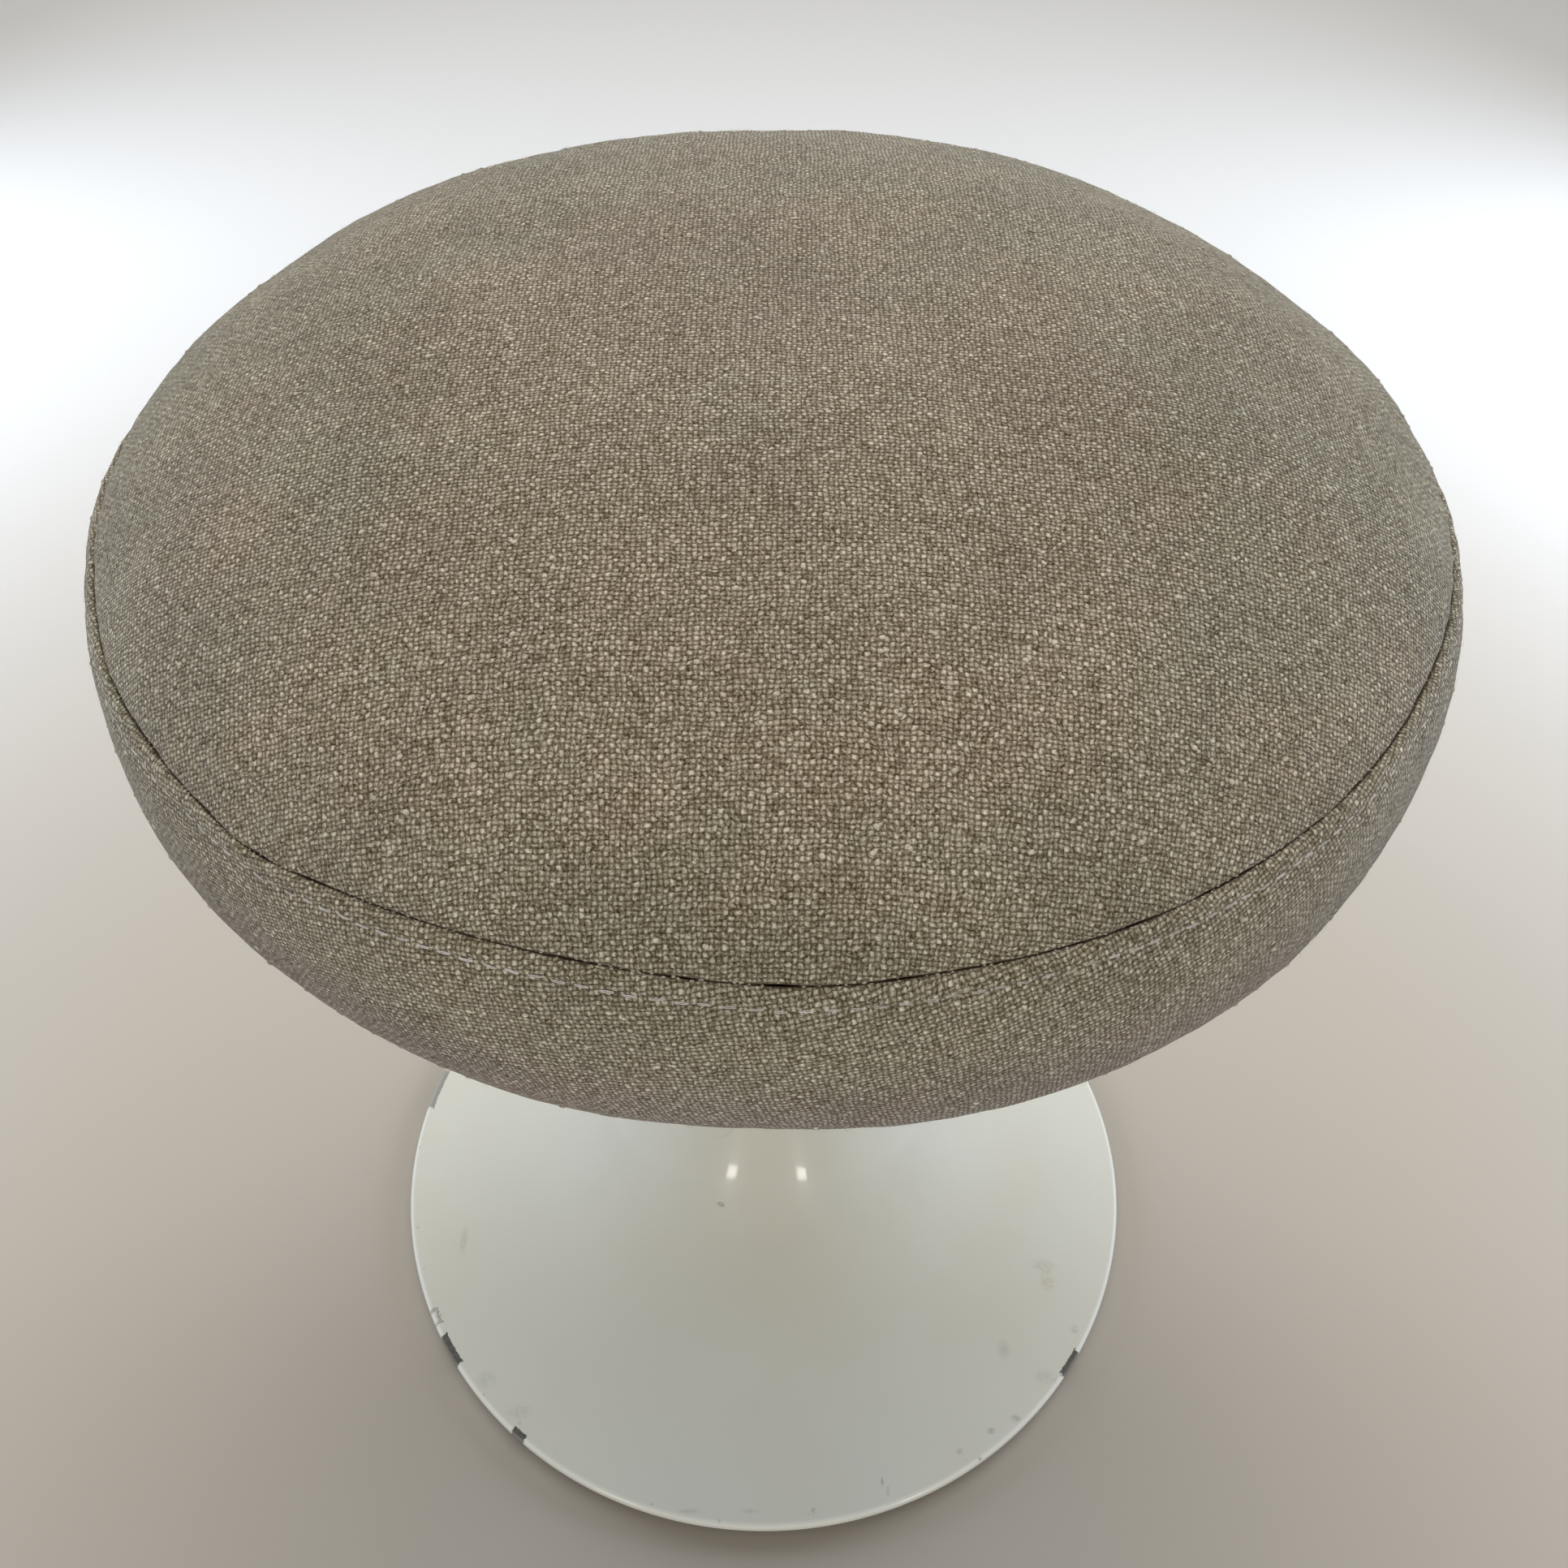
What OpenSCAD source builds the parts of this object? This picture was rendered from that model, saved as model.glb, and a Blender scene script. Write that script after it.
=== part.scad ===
// Swivelling pedestal stool: a round upholstered cushion on a cast trumpet base.
// Millimetres, +Z up, origin on the floor at the centre of the base.

/* [Seat cushion] */
// Radius of the seam between the top panel and the boxing band
seam_r = 183; // [150:1:220]
// Height of that seam above the floor
seam_h = 399; // [330:1:520]
// Rise of the crown above the seam
crown_h = 51; // [25:1:70]
// Roundness of the crown: the power of the radius, 2 is a bowl, 4 is flatter on top
crown_power = 2.8; // [2:0.1:4]
// Steepness of the crown at its edge: 1 is a plain slope, 0.5 turns down sharply
crown_edge = 0.75; // [0.5:0.05:1]
// How far the boxing band swells past the seam
bulge = 7.5; // [3:0.5:14]
// Depth of the widest part of the band below the seam
bulge_drop = 28; // [18:1:36]
// Height of the band from the seam to the underside of the seat
band_h = 68; // [56:1:90]
// How far the band turns in from its widest part to the flat underside
turn_in = 24.5; // [18:0.5:30]
// Thickness of the woven cover cloth
cloth_t = 1.6; // [1:0.1:2.4]
// Seam allowance of the top panel, turned down behind the band
allowance_h = 10; // [6:1:14]
// Width of the hem pulled under the seat board
hem_w = 28; // [20:1:40]
// Thickness of the polyester wadding over the foam
wadding_t = 5; // [3:0.5:8]

/* [Seat board and underside] */
// Thickness of the plywood seat board
board_t = 15; // [12:1:21]
// How far the board reaches past the flat part of the underside
board_out = 2; // [1:0.5:4]
// Radius of the rounded board edges
board_round = 3; // [2:0.5:4]
// Thickness of the black dust cloth under the seat
dust_t = 0.6; // [0.4:0.1:1]
// How far the dust cloth laps over the hem
dust_lap = 12; // [6:1:18]
// Number of staples through the hem
hem_staples = 32; // [20:1:40]
// Number of staples through the dust cloth
dust_staple_count = 20; // [12:1:28]
// Distance of the hem's staples inside the flat part's edge
hem_staple_in = 6; // [3:1:8]
// Distance of the dust cloth's staples inside its edge
dust_staple_in = 4; // [2:1:6]
// Length of a staple's back
staple_w = 10; // [6:1:13]
// Length of a staple's legs
staple_leg = 8; // [6:1:10]
// Width of the staple wire
staple_wire_w = 1.1; // [0.8:0.1:1.4]
// Thickness of the staple wire
staple_wire_t = 0.6; // [0.4:0.1:0.8]

/* [Pedestal] */
// Radius of the foot disc
foot_r = 164; // [130:1:200]
// Height of the foot's upright rim
rim_h = 6; // [5:0.5:9]
// Radius that rounds the rim's edges
rim_round = 2; // [1:0.25:2.5]
// Width of the flat ring under the rim
rim_ring_w = 19; // [18:1:26]
// Height of the narrowest part of the stem above the floor
waist_h = 190; // [150:1:230]
// Reach of the foot's flat stretch towards the stem
foot_sweep = 70; // [45:1:95]
// Rise of the foot along that stretch
foot_rise = 7; // [3:0.5:14]
// Reach of the stem's upright stretch down towards the foot
stem_sweep = 156; // [110:1:165]
// Reach of the stem's upright stretch up towards the head
head_sweep = 50; // [30:1:70]
// Reach of the head's flare, measured down from its edge
flare_drop = 18.5; // [10:0.5:30]
// Reach of the head's flare, measured in from its edge
flare_in = 18; // [8:0.5:24]
// Height of the upright edge round the head
head_edge_h = 2.5; // [1.5:0.5:5]
// Radius that rounds the head's top edge
head_round = 1.5; // [1:0.25:2.5]
// Wall of the casting
casting_wall = 5; // [4:0.25:7]
// Thickness of the solid head of the casting
head_t = 30; // [26:1:40]
// Width of the casting's lip round the bearing housing's flange
head_lip = 14; // [10:1:20]
// Room between the bearing housing's tube and the hollow stem
stem_room = 2.5; // [1.5:0.25:6]
// Number of floor glides
glide_count = 6; // [3:1:8]
// Radius of a floor glide
glide_r = 8; // [6:0.5:8.5]
// Height that the glides lift the casting off the floor
glide_h = 3; // [2:0.5:5]
// Radius of a glide's pressed stem
glide_stem_r = 2.5; // [1.5:0.25:3.5]
// Length of a glide's pressed stem
glide_stem_l = 4; // [3:0.25:4.5]

/* [Swivel] */
// Radius of the spindle
spindle_r = 10; // [8:0.5:13]
// Thickness of the spindle's collar under the mounting plate
collar_t = 5; // [4:0.5:8]
// Radius of the spindle's spigot in the mounting plate, past the spindle's own
spigot_step = 2; // [1:0.5:4]
// Wall of the bushes
bush_wall = 3; // [2:0.25:4]
// Length of each bush
bush_l = 18; // [12:1:26]
// Thickness of the lower bush's flange
bush_flange_t = 1.5; // [1:0.25:2.5]
// Radius of a bearing ball
ball_r = 2.5; // [2:0.25:3]
// Number of bearing balls
ball_count = 12; // [8:1:14]
// Radial distance from the spindle's surface to the ring of balls
ball_offset = 6.2; // [5.5:0.1:8]
// Thickness of each bearing race
race_t = 2.2; // [1.6:0.1:3]
// Depth of the groove that the balls run in
groove_d = 0.7; // [0.4:0.05:0.9]
// Width of a race from the ring of balls to its edge
race_half_w = 5.8; // [4.5:0.1:7]
// Thickness of the ball cage
cage_t = 1.4; // [1:0.1:1.8]
// Width of the ball cage from the ring of balls to its edge
cage_half_w = 4.2; // [3.6:0.1:4.4]
// Room round the turning race inside the housing
race_room = 1; // [0.5:0.1:2]
// Wall of the housing round the bearing
cup_wall = 4; // [3:0.5:6]
// Width of the housing's flange
flange_w = 13; // [12:0.5:18]
// Thickness of the housing's flange
flange_t = 5; // [4:0.5:7]
// Thickness of the housing below the bearing
cup_floor = 12; // [8:1:14]
// Wall of the housing's tube
tube_wall = 4; // [3:0.25:5]
// Reach of the housing's tube below the bearing
tube_reach = 84; // [60:1:110]
// Thickness of the retaining washer
washer_t = 1.6; // [1:0.1:2.5]
// Width of the retaining washer
washer_w = 5.5; // [4:0.25:6]
// Free height of the wave washer
wave_h = 1.3; // [1:0.1:2]
// Thickness of the wave washer's strip
wave_t = 0.4; // [0.3:0.05:0.5]
// Thickness of the retaining ring
ring_t = 1.2; // [1:0.1:1.75]
// Width of the retaining ring
ring_w = 3.8; // [3:0.2:4.6]
// Depth of the retaining ring's groove in the spindle
ring_groove = 0.9; // [0.5:0.1:1.4]
// Length of the spindle below the retaining ring
spindle_tail = 5; // [3:0.5:10]

/* [Mounting plate and fasteners] */
// Thickness of the steel mounting plate
plate_t = 5; // [4:0.5:8]
// Gap between the casting's head and the turning plate
swivel_gap = 2; // [1.5:0.25:4]
// Distance of the plate's screws outside the casting's head
screw_out = 8; // [7.5:0.5:14]
// Margin of the plate outside its screws
plate_margin = 10; // [8:0.5:16]
// Number of screws through the plate, and through the housing's flange
screw_count = 4; // [3:1:6]
// Radius of a plate screw's shank
plate_screw_r = 3; // [2.5:0.5:4]
// Length of a plate screw under its head
plate_screw_l = 18; // [16:1:20]
// Radius of a plate screw's head
plate_head_r = 5.25; // [4.5:0.25:6]
// Height of a plate screw's head
plate_head_h = 3.3; // [2.5:0.1:4]
// Radius of a plate screw's washer
plate_washer_r = 6.2; // [5.75:0.1:7]
// Thickness of a plate screw's washer
plate_washer_t = 1.6; // [1:0.1:2]
// Wall of a tee nut's barrel
tee_wall = 1; // [0.8:0.1:1.5]
// Length of a tee nut's barrel
tee_l = 11; // [8:0.5:11.5]
// Radius of a tee nut's flange
tee_flange_r = 9.5; // [8.5:0.5:12]
// Thickness of a tee nut's flange
tee_flange_t = 1.4; // [1:0.1:2]
// Length of a tee nut's prongs
prong_l = 5; // [3:0.5:8]
// Radius of a housing screw's shank
housing_screw_r = 2.5; // [2:0.25:3]
// Length of a housing screw, head included
housing_screw_l = 16; // [12:1:20]
// Depth of a housing screw's countersunk head
housing_head_h = 2.6; // [2:0.1:3]
// Radius of a housing screw's countersunk head
housing_head_r = 5; // [4.25:0.25:5.25]

/* [Hidden] */
$fn = 96;

// Height of the wadding's lower edge above the board's underside
wadding_lift = 4;
// Depth of a tapped hole past its screw
tap_extra = 2;
// Step from the edge of the turning race to the edge of the collar
collar_step = 2;
// Chamfer of turned edges
chamfer = 1;

// Clearances between pieces
layer_gap = 0.3;      // between the layers of the cushion
press_gap = 0.02;     // radial, a piece pressed or screwed home
run_gap = 0.05;       // radial, the spindle in its bushes
ball_gap = 0.1;       // round a ball in its groove and its cage
slide_gap = 0.1;      // between flat faces that turn on each other
hole_gap = 0.4;       // radial, a screw in its clearance hole
pocket_gap = 1;       // round a tee nut in the foam
eps = 0.5;            // overrun of a cut past a face

// Steps along the curves
crown_steps = 22;
band_steps = 8;
turn_steps = 10;
foot_steps = 28;
head_steps = 14;
round_steps = 4;
wave_steps = 36;
waves = 3;

// Heights of the seat, from the seam down
bulge_z = seam_h - bulge_drop;
under_z = seam_h - band_h;
board_z = under_z + cloth_t;
board_top = board_z + board_t;
plate_z = board_z - plate_t;
head_top = plate_z - swivel_gap;

// Radii of the seat
bulge_r = seam_r + bulge;
turn_r = bulge_r - turn_in;
board_r = turn_r + board_out;
hem_r = turn_r - hem_w;
wadding_in = 2 * (cloth_t + layer_gap);
foam_in = wadding_in + wadding_t + layer_gap;
wadding_z = board_z + wadding_lift;
dust_r = hem_r + dust_lap;

// The spindle, its bearing and the housing, from the plate down
collar_z = plate_z - collar_t;
upper_race_z = collar_z - race_t;
ball_z = upper_race_z + groove_d - ball_gap - ball_r;
lower_race_top = ball_z - ball_r - ball_gap + groove_d;
cup_z = lower_race_top - race_t;
tube_z = cup_z - tube_reach;
bush_r = spindle_r + run_gap;
bush_out_r = bush_r + bush_wall;
housing_bore_r = bush_out_r + press_gap;
tube_r = housing_bore_r + tube_wall;
ball_ring_r = spindle_r + ball_offset;
race_r = ball_ring_r + race_half_w;
cup_r = race_r + race_room;
cup_out_r = cup_r + cup_wall;
flange_r = cup_out_r + flange_w;
collar_r = race_r - collar_step;
spigot_r = spindle_r + spigot_step;
washer_top = tube_z - bush_flange_t - slide_gap;
wave_top = washer_top - washer_t - run_gap;
wave_r0 = spindle_r + 2 * run_gap;
wave_r1 = spindle_r + washer_w - 1;
ring_top = wave_top - wave_h - run_gap;
ring_r = spindle_r - ring_groove;
spindle_z = ring_top - ring_t - spindle_tail;

// The casting
head_r = flange_r + press_gap + head_lip;
waist_r = tube_r + stem_room + casting_wall;
rim_z = glide_h;
rim_top = rim_z + rim_h;
rim_ring_r = foot_r - rim_round - rim_ring_w;
glide_ring_r = foot_r - rim_round - glide_r;
head_edge_z = head_top - head_round - head_edge_h;
cavity_top = head_top - head_t;

// Circles of screws
plate_pcd_r = head_r + screw_out;
plate_r = plate_pcd_r + plate_margin;
housing_pcd_r = cup_out_r + flange_w / 2;
tee_bore_r = plate_screw_r + press_gap;
tee_r = tee_bore_r + tee_wall;

// Point at t between 0 and 1 on the cubic curve through a and d with handles b and c
function bezier(a, b, c, d, t) =
    pow(1 - t, 3) * a + 3 * pow(1 - t, 2) * t * b + 3 * (1 - t) * pow(t, 2) * c + pow(t, 3) * d;

// Direction of travel of that curve at t
function bezier_dir(a, b, c, d, t) =
    pow(1 - t, 2) * (b - a) + 2 * (1 - t) * t * (c - b) + pow(t, 2) * (d - c);

// Point shifted by a distance to the left of its direction of travel
function shifted(p, dir, dist) = p + dist * [-dir[1], dir[0]] / norm(dir);

// Points of a quarter round of radius r about c, from angle a0 to a1
function quarter(c, r, a0, a1) =
    [for (i = [0:round_steps]) c + r * [cos(a0 + (a1 - a0) * i / round_steps),
                                        sin(a0 + (a1 - a0) * i / round_steps)]];

// Handles of the foot's curve, rim to waist, and of the head's curve, waist to edge
foot_curve = [
    [foot_r - rim_round, rim_top],
    [foot_r - rim_round - foot_sweep, rim_top + foot_rise],
    [waist_r, waist_h - stem_sweep],
    [waist_r, waist_h]
];
head_curve = [
    [waist_r, waist_h],
    [waist_r, waist_h + head_sweep],
    [head_r - flare_in, head_edge_z - flare_drop],
    [head_r, head_edge_z]
];

// Points along one of those curves, shifted into the wall by a distance
function along(k, steps, dist) =
    [for (i = [0:steps]) shifted(bezier(k[0], k[1], k[2], k[3], i / steps),
                                 bezier_dir(k[0], k[1], k[2], k[3], i / steps), dist)];

// Height of the crown at a share u of its radius, as a share of its rise
function crown_share(u) = pow(max(0, 1 - pow(u, crown_power)), crown_edge);

// Half section of the seat drawn in by top_in at the crown and side_in at the sides
module seat_area(top_in, side_in) {
    seam_in = seam_r - side_in;
    crown = [for (i = [crown_steps:-1:0]) let (u = sin(90 * i / crown_steps))
        [seam_in * u, seam_h + (crown_h - top_in) * crown_share(u)]];
    shoulder = [for (i = [band_steps:-1:1]) let (a = 90 * i / band_steps)
        [seam_in + bulge * sin(a), seam_h - bulge_drop * (1 - cos(a))]];
    turn = [for (i = [turn_steps:-1:1]) let (a = 90 * i / turn_steps)
        [turn_r + (turn_in - side_in) * cos(a), bulge_z - (bulge_z - under_z - side_in) * sin(a)]];
    polygon(concat([[0, under_z + side_in]], turn, shoulder, crown));
}

// Band of the section between two heights
module between(z0, z1) {
    intersection() {
        children();
        translate([0, z0]) square([bulge_r + eps, z1 - z0]);
    }
}

// Ring with a rectangular section
module ring(r0, r1, z0, z1) {
    rotate_extrude() translate([r0, z0]) square([r1 - r0, z1 - z0]);
}

// Copies of a child round the axis, each at radius r
module around(count, r, first = 0) {
    for (i = [0:count - 1]) rotate([0, 0, first + i * 360 / count]) translate([r, 0, 0]) children();
}

// Staple with its back below z and its legs above, the back along Y
module staple(z) {
    translate([-staple_wire_w / 2, -staple_w / 2, z - staple_wire_t])
        cube([staple_wire_w, staple_w, staple_wire_t]);
    for (side = [-1, 1]) translate([-staple_wire_w / 2, side * (staple_w - staple_wire_t) / 2
            - staple_wire_t / 2, z - staple_wire_t])
        cube([staple_wire_w, staple_wire_t, staple_wire_t + staple_leg]);
}

// Cast trumpet base, hollow from below, with its head bored for the bearing housing
module pedestal() color([0.74, 0.745, 0.71]) difference() {
    rotate_extrude() difference() {
        polygon(concat(
            [[0, rim_z]],
            quarter([foot_r - rim_round, rim_z + rim_round], rim_round, -90, 0),
            quarter([foot_r - rim_round, rim_top - rim_round], rim_round, 0, 90),
            [for (p = along(foot_curve, foot_steps, 0)) if (p[0] < foot_r - rim_round - eps) p],
            [for (p = along(head_curve, head_steps, 0)) if (p[1] > waist_h + eps) p],
            quarter([head_r - head_round, head_top - head_round], head_round, 0, 90),
            [[0, head_top]]
        ));
        intersection() {
            polygon(concat(
                [[0, rim_z - eps], [foot_r, rim_z - eps]],
                along(foot_curve, foot_steps, casting_wall),
                [for (p = along(head_curve, head_steps, casting_wall)) if (p[1] > waist_h + eps) p],
                [[0, head_top]]
            ));
            translate([0, rim_z - eps]) square([rim_ring_r, cavity_top - rim_z + eps]);
        }
        translate([0, cavity_top - eps]) square([cup_out_r + press_gap, head_top - cavity_top + 2 * eps]);
        translate([0, head_top - flange_t]) square([flange_r + press_gap, flange_t + eps]);
    }
    around(screw_count, housing_pcd_r, 45) translate([0, 0, head_top - housing_screw_l - tap_extra])
        cylinder(r = housing_screw_r + press_gap, h = housing_screw_l + tap_extra);
    around(glide_count, glide_ring_r) translate([0, 0, rim_z - eps])
        cylinder(r = glide_stem_r + press_gap, h = glide_stem_l + 2 * eps);
}

// Nylon buttons pressed into the rim, with rounded lower edges
module base_glides() color([0.12, 0.12, 0.12]) around(glide_count, glide_ring_r) rotate_extrude()
    polygon(concat(
        [[0, 0]],
        quarter([glide_r - chamfer, chamfer], chamfer, -90, 0),
        [[glide_r, glide_h], [glide_stem_r, glide_h], [glide_stem_r, glide_h + glide_stem_l],
         [0, glide_h + glide_stem_l]]
    ));

// Turned steel housing: flange, bearing cup and tube for the two bushes
module bearing_housing() color([0.55, 0.56, 0.58]) difference() {
    rotate_extrude() polygon([
        [housing_bore_r, tube_z], [tube_r, tube_z], [tube_r, cup_z - cup_floor],
        [cup_out_r, cup_z - cup_floor], [cup_out_r, head_top - flange_t],
        [flange_r, head_top - flange_t], [flange_r, head_top], [cup_r, head_top],
        [cup_r, cup_z], [housing_bore_r, cup_z]
    ]);
    around(screw_count, housing_pcd_r, 45) {
        translate([0, 0, head_top - flange_t - eps]) cylinder(r = housing_screw_r + hole_gap, h = flange_t + 2 * eps);
        translate([0, 0, head_top - housing_head_h]) cylinder(r1 = housing_screw_r + hole_gap,
            r2 = housing_head_r + hole_gap, h = housing_head_h);
    }
}

// Countersunk screws that hold the housing in the casting's head
module housing_screws() color([0.5, 0.5, 0.52]) around(screw_count, housing_pcd_r, 45) difference() {
    union() {
        translate([0, 0, head_top - housing_screw_l]) cylinder(r = housing_screw_r, h = housing_screw_l - housing_head_h);
        translate([0, 0, head_top - housing_head_h]) cylinder(r1 = housing_screw_r, r2 = housing_head_r, h = housing_head_h);
    }
    translate([0, 0, head_top - housing_head_h * 0.8]) cylinder(r = housing_screw_r * 0.65, h = housing_head_h, $fn = 6);
}

// Plain bronze bush under the bearing
module upper_bush() color([0.72, 0.52, 0.28]) ring(bush_r, bush_out_r, cup_z - bush_l, cup_z);

// Flanged bronze bush at the foot of the tube
module lower_bush() color([0.72, 0.52, 0.28]) {
    rotate_extrude() polygon([
        [bush_r, tube_z - bush_flange_t], [tube_r - 1, tube_z - bush_flange_t], [tube_r - 1, tube_z],
        [bush_out_r, tube_z], [bush_out_r, tube_z + bush_l], [bush_r, tube_z + bush_l]
    ]);
}

// Race of the thrust bearing, with the groove that the balls run in
module race(r0, r1, z0) {
    rotate_extrude() difference() {
        translate([r0, z0]) square([r1 - r0, race_t]);
        translate([ball_ring_r, ball_z]) circle(r = ball_r + ball_gap);
    }
}

// Standing race, seated in the housing's cup
module lower_race() color([0.62, 0.63, 0.65]) race(spindle_r + race_room, cup_r - press_gap, cup_z);

// Turning race, seated on the spindle
module upper_race() color([0.62, 0.63, 0.65]) race(spindle_r + press_gap, race_r, upper_race_z);

// Brass cage that spaces the balls
module ball_cage() color([0.78, 0.62, 0.32]) difference() {
    ring(ball_ring_r - cage_half_w, ball_ring_r + cage_half_w, ball_z - cage_t / 2, ball_z + cage_t / 2);
    around(ball_count, ball_ring_r) translate([0, 0, ball_z - cage_t]) cylinder(r = ball_r + ball_gap, h = 2 * cage_t);
}

// Steel balls
module bearing_balls() color([0.8, 0.8, 0.82]) around(ball_count, ball_ring_r) translate([0, 0, ball_z])
    sphere(r = ball_r, $fn = 32);

// Spindle: spigot in the plate, collar on the bearing, shaft with the ring's groove
module spindle() color([0.66, 0.67, 0.69]) rotate_extrude() polygon([
    [0, spindle_z], [spindle_r - chamfer, spindle_z], [spindle_r, spindle_z + chamfer],
    [spindle_r, ring_top - ring_t - run_gap], [ring_r, ring_top - ring_t - run_gap],
    [ring_r, ring_top + run_gap], [spindle_r, ring_top + run_gap],
    [spindle_r, collar_z], [collar_r, collar_z], [collar_r, plate_z],
    [spigot_r, plate_z], [spigot_r, board_z], [0, board_z]
]);

// Round steel plate between the spindle and the seat board
module mounting_plate() color([0.16, 0.16, 0.17]) difference() {
    rotate_extrude() polygon([
        [spigot_r + press_gap, plate_z], [plate_r - chamfer, plate_z], [plate_r, plate_z + chamfer],
        [plate_r, board_z], [spigot_r + press_gap, board_z]
    ]);
    around(screw_count, plate_pcd_r) translate([0, 0, plate_z - eps])
        cylinder(r = plate_screw_r + hole_gap, h = plate_t + 2 * eps);
}

// Washers under the plate screws
module plate_washers() color([0.7, 0.7, 0.71]) around(screw_count, plate_pcd_r)
    ring(plate_screw_r + press_gap, plate_washer_r, plate_z - plate_washer_t, plate_z);

// Button-head screws up through the plate into the tee nuts
module plate_screws() color([0.6, 0.6, 0.62]) around(screw_count, plate_pcd_r)
    translate([0, 0, plate_z - plate_washer_t]) difference() {
        rotate_extrude() polygon([
            [0, -plate_head_h], [plate_head_r * 0.55, -plate_head_h], [plate_head_r * 0.85, -plate_head_h * 0.7],
            [plate_head_r, -plate_head_h * 0.25], [plate_head_r, 0], [plate_screw_r, 0],
            [plate_screw_r, plate_screw_l - 1], [plate_screw_r - 1, plate_screw_l], [0, plate_screw_l]
        ]);
        translate([0, 0, -plate_head_h - eps]) cylinder(r = plate_screw_r * 0.75, h = plate_head_h * 0.6 + eps, $fn = 6);
    }

// Pronged nuts let into the top of the board
module tee_nuts() color([0.75, 0.72, 0.6]) around(screw_count, plate_pcd_r) {
    ring(tee_bore_r, tee_r, board_top - tee_l, board_top + tee_flange_t);
    ring(tee_r - tee_wall / 2, tee_flange_r, board_top, board_top + tee_flange_t);
    for (a = [45:90:315]) rotate([0, 0, a]) translate([tee_flange_r - 2, -1.2, board_top - prong_l])
        cube([0.9, 2.4, prong_l + tee_flange_t]);
}

// Plywood disc that carries the cushion
module seat_board() color([0.76, 0.62, 0.43]) difference() {
    rotate_extrude() polygon(concat(
        [[0, board_z]],
        quarter([board_r - board_round, board_z + board_round], board_round, -90, 0),
        quarter([board_r - board_round, board_top - board_round], board_round, 0, 90),
        [[0, board_top]]
    ));
    around(screw_count, plate_pcd_r) translate([0, 0, board_z - eps])
        cylinder(r = tee_r + press_gap, h = board_t + 2 * eps);
}

// Moulded foam with the crown and the drawn-in sides, on top of the board
module foam_pad() color([0.93, 0.88, 0.68]) difference() {
    rotate_extrude() between(board_top, seam_h + crown_h) seat_area(foam_in, foam_in);
    around(screw_count, plate_pcd_r) translate([0, 0, board_top - eps])
        cylinder(r = tee_flange_r + pocket_gap, h = tee_flange_t + pocket_gap + eps);
}

// Wadding over the foam and round the edge of the board
module wadding() color([0.95, 0.95, 0.93]) rotate_extrude() difference() {
    between(wadding_z, seam_h + crown_h) seat_area(cloth_t + layer_gap, wadding_in);
    between(board_top - layer_gap, seam_h + crown_h) seat_area(foam_in - layer_gap, foam_in - layer_gap);
    square([board_r + layer_gap, board_top]);
}

// Top panel of the cover, with its seam allowance turned down behind the band
module cover_top() color([0.52, 0.48, 0.41]) rotate_extrude() {
    between(seam_h + layer_gap / 2, seam_h + crown_h) difference() {
        seat_area(0, 0);
        seat_area(cloth_t, cloth_t);
    }
    between(seam_h + layer_gap / 2, seam_h + cloth_t) difference() {
        seat_area(cloth_t / 2, cloth_t / 2);
        seat_area(wadding_in - layer_gap, wadding_in - layer_gap);
    }
    between(seam_h - allowance_h, seam_h + cloth_t) difference() {
        seat_area(cloth_t + layer_gap, cloth_t + layer_gap);
        seat_area(wadding_in - layer_gap, wadding_in - layer_gap);
    }
}

// Boxing band of the cover, turned under the board to its stapled hem
module cover_band() color([0.5, 0.46, 0.39]) rotate_extrude() difference() {
    between(under_z, seam_h - layer_gap / 2) difference() {
        seat_area(0, 0);
        seat_area(cloth_t, cloth_t);
    }
    square([hem_r, board_top]);
}

// Staples through the hem
module cover_staples() color([0.72, 0.72, 0.74]) around(hem_staples, turn_r - hem_staple_in, 4) staple(under_z);

// Black cloth that closes the underside between the plate and the hem
module dust_cover() color([0.09, 0.09, 0.1]) rotate_extrude() polygon([
    [plate_r + pocket_gap, board_z - dust_t], [hem_r - 4.5, board_z - dust_t],
    [hem_r - 1, under_z - dust_t], [dust_r, under_z - dust_t], [dust_r, under_z],
    [hem_r - 0.6, under_z], [hem_r - 4, board_z], [plate_r + pocket_gap, board_z]
]);

// Staples through the edge of the dust cloth
module dust_staples() color([0.72, 0.72, 0.74]) around(dust_staple_count, dust_r - dust_staple_in, 7)
    staple(under_z - dust_t);

// Washer that keeps the spindle from lifting out of the lower bush
module retaining_washer() color([0.68, 0.69, 0.7])
    ring(spindle_r + run_gap, spindle_r + washer_w, washer_top - washer_t, washer_top);

// Point of the wave washer's strip at step i, radius r and dz above its middle
function wave_point(r, i, dz) = [
    r * cos(360 * i / wave_steps), r * sin(360 * i / wave_steps),
    wave_top - wave_h / 2 + (wave_h - wave_t) / 2 * sin(waves * 360 * i / wave_steps) + dz
];

// Wavy spring washer that takes up the play
module wave_washer() color([0.45, 0.46, 0.5]) {
    points = [for (i = [0:wave_steps - 1]) each [
        wave_point(wave_r0, i, -wave_t / 2), wave_point(wave_r1, i, -wave_t / 2),
        wave_point(wave_r1, i, wave_t / 2), wave_point(wave_r0, i, wave_t / 2)
    ]];
    faces = [for (i = [0:wave_steps - 1], k = [0:3]) let (
            a = 4 * i + k, b = 4 * i + (k + 1) % 4,
            j = 4 * ((i + 1) % wave_steps), c = j + (k + 1) % 4, d = j + k)
        each [[a, b, c], [a, c, d]]];
    polyhedron(points, faces);
}

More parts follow.
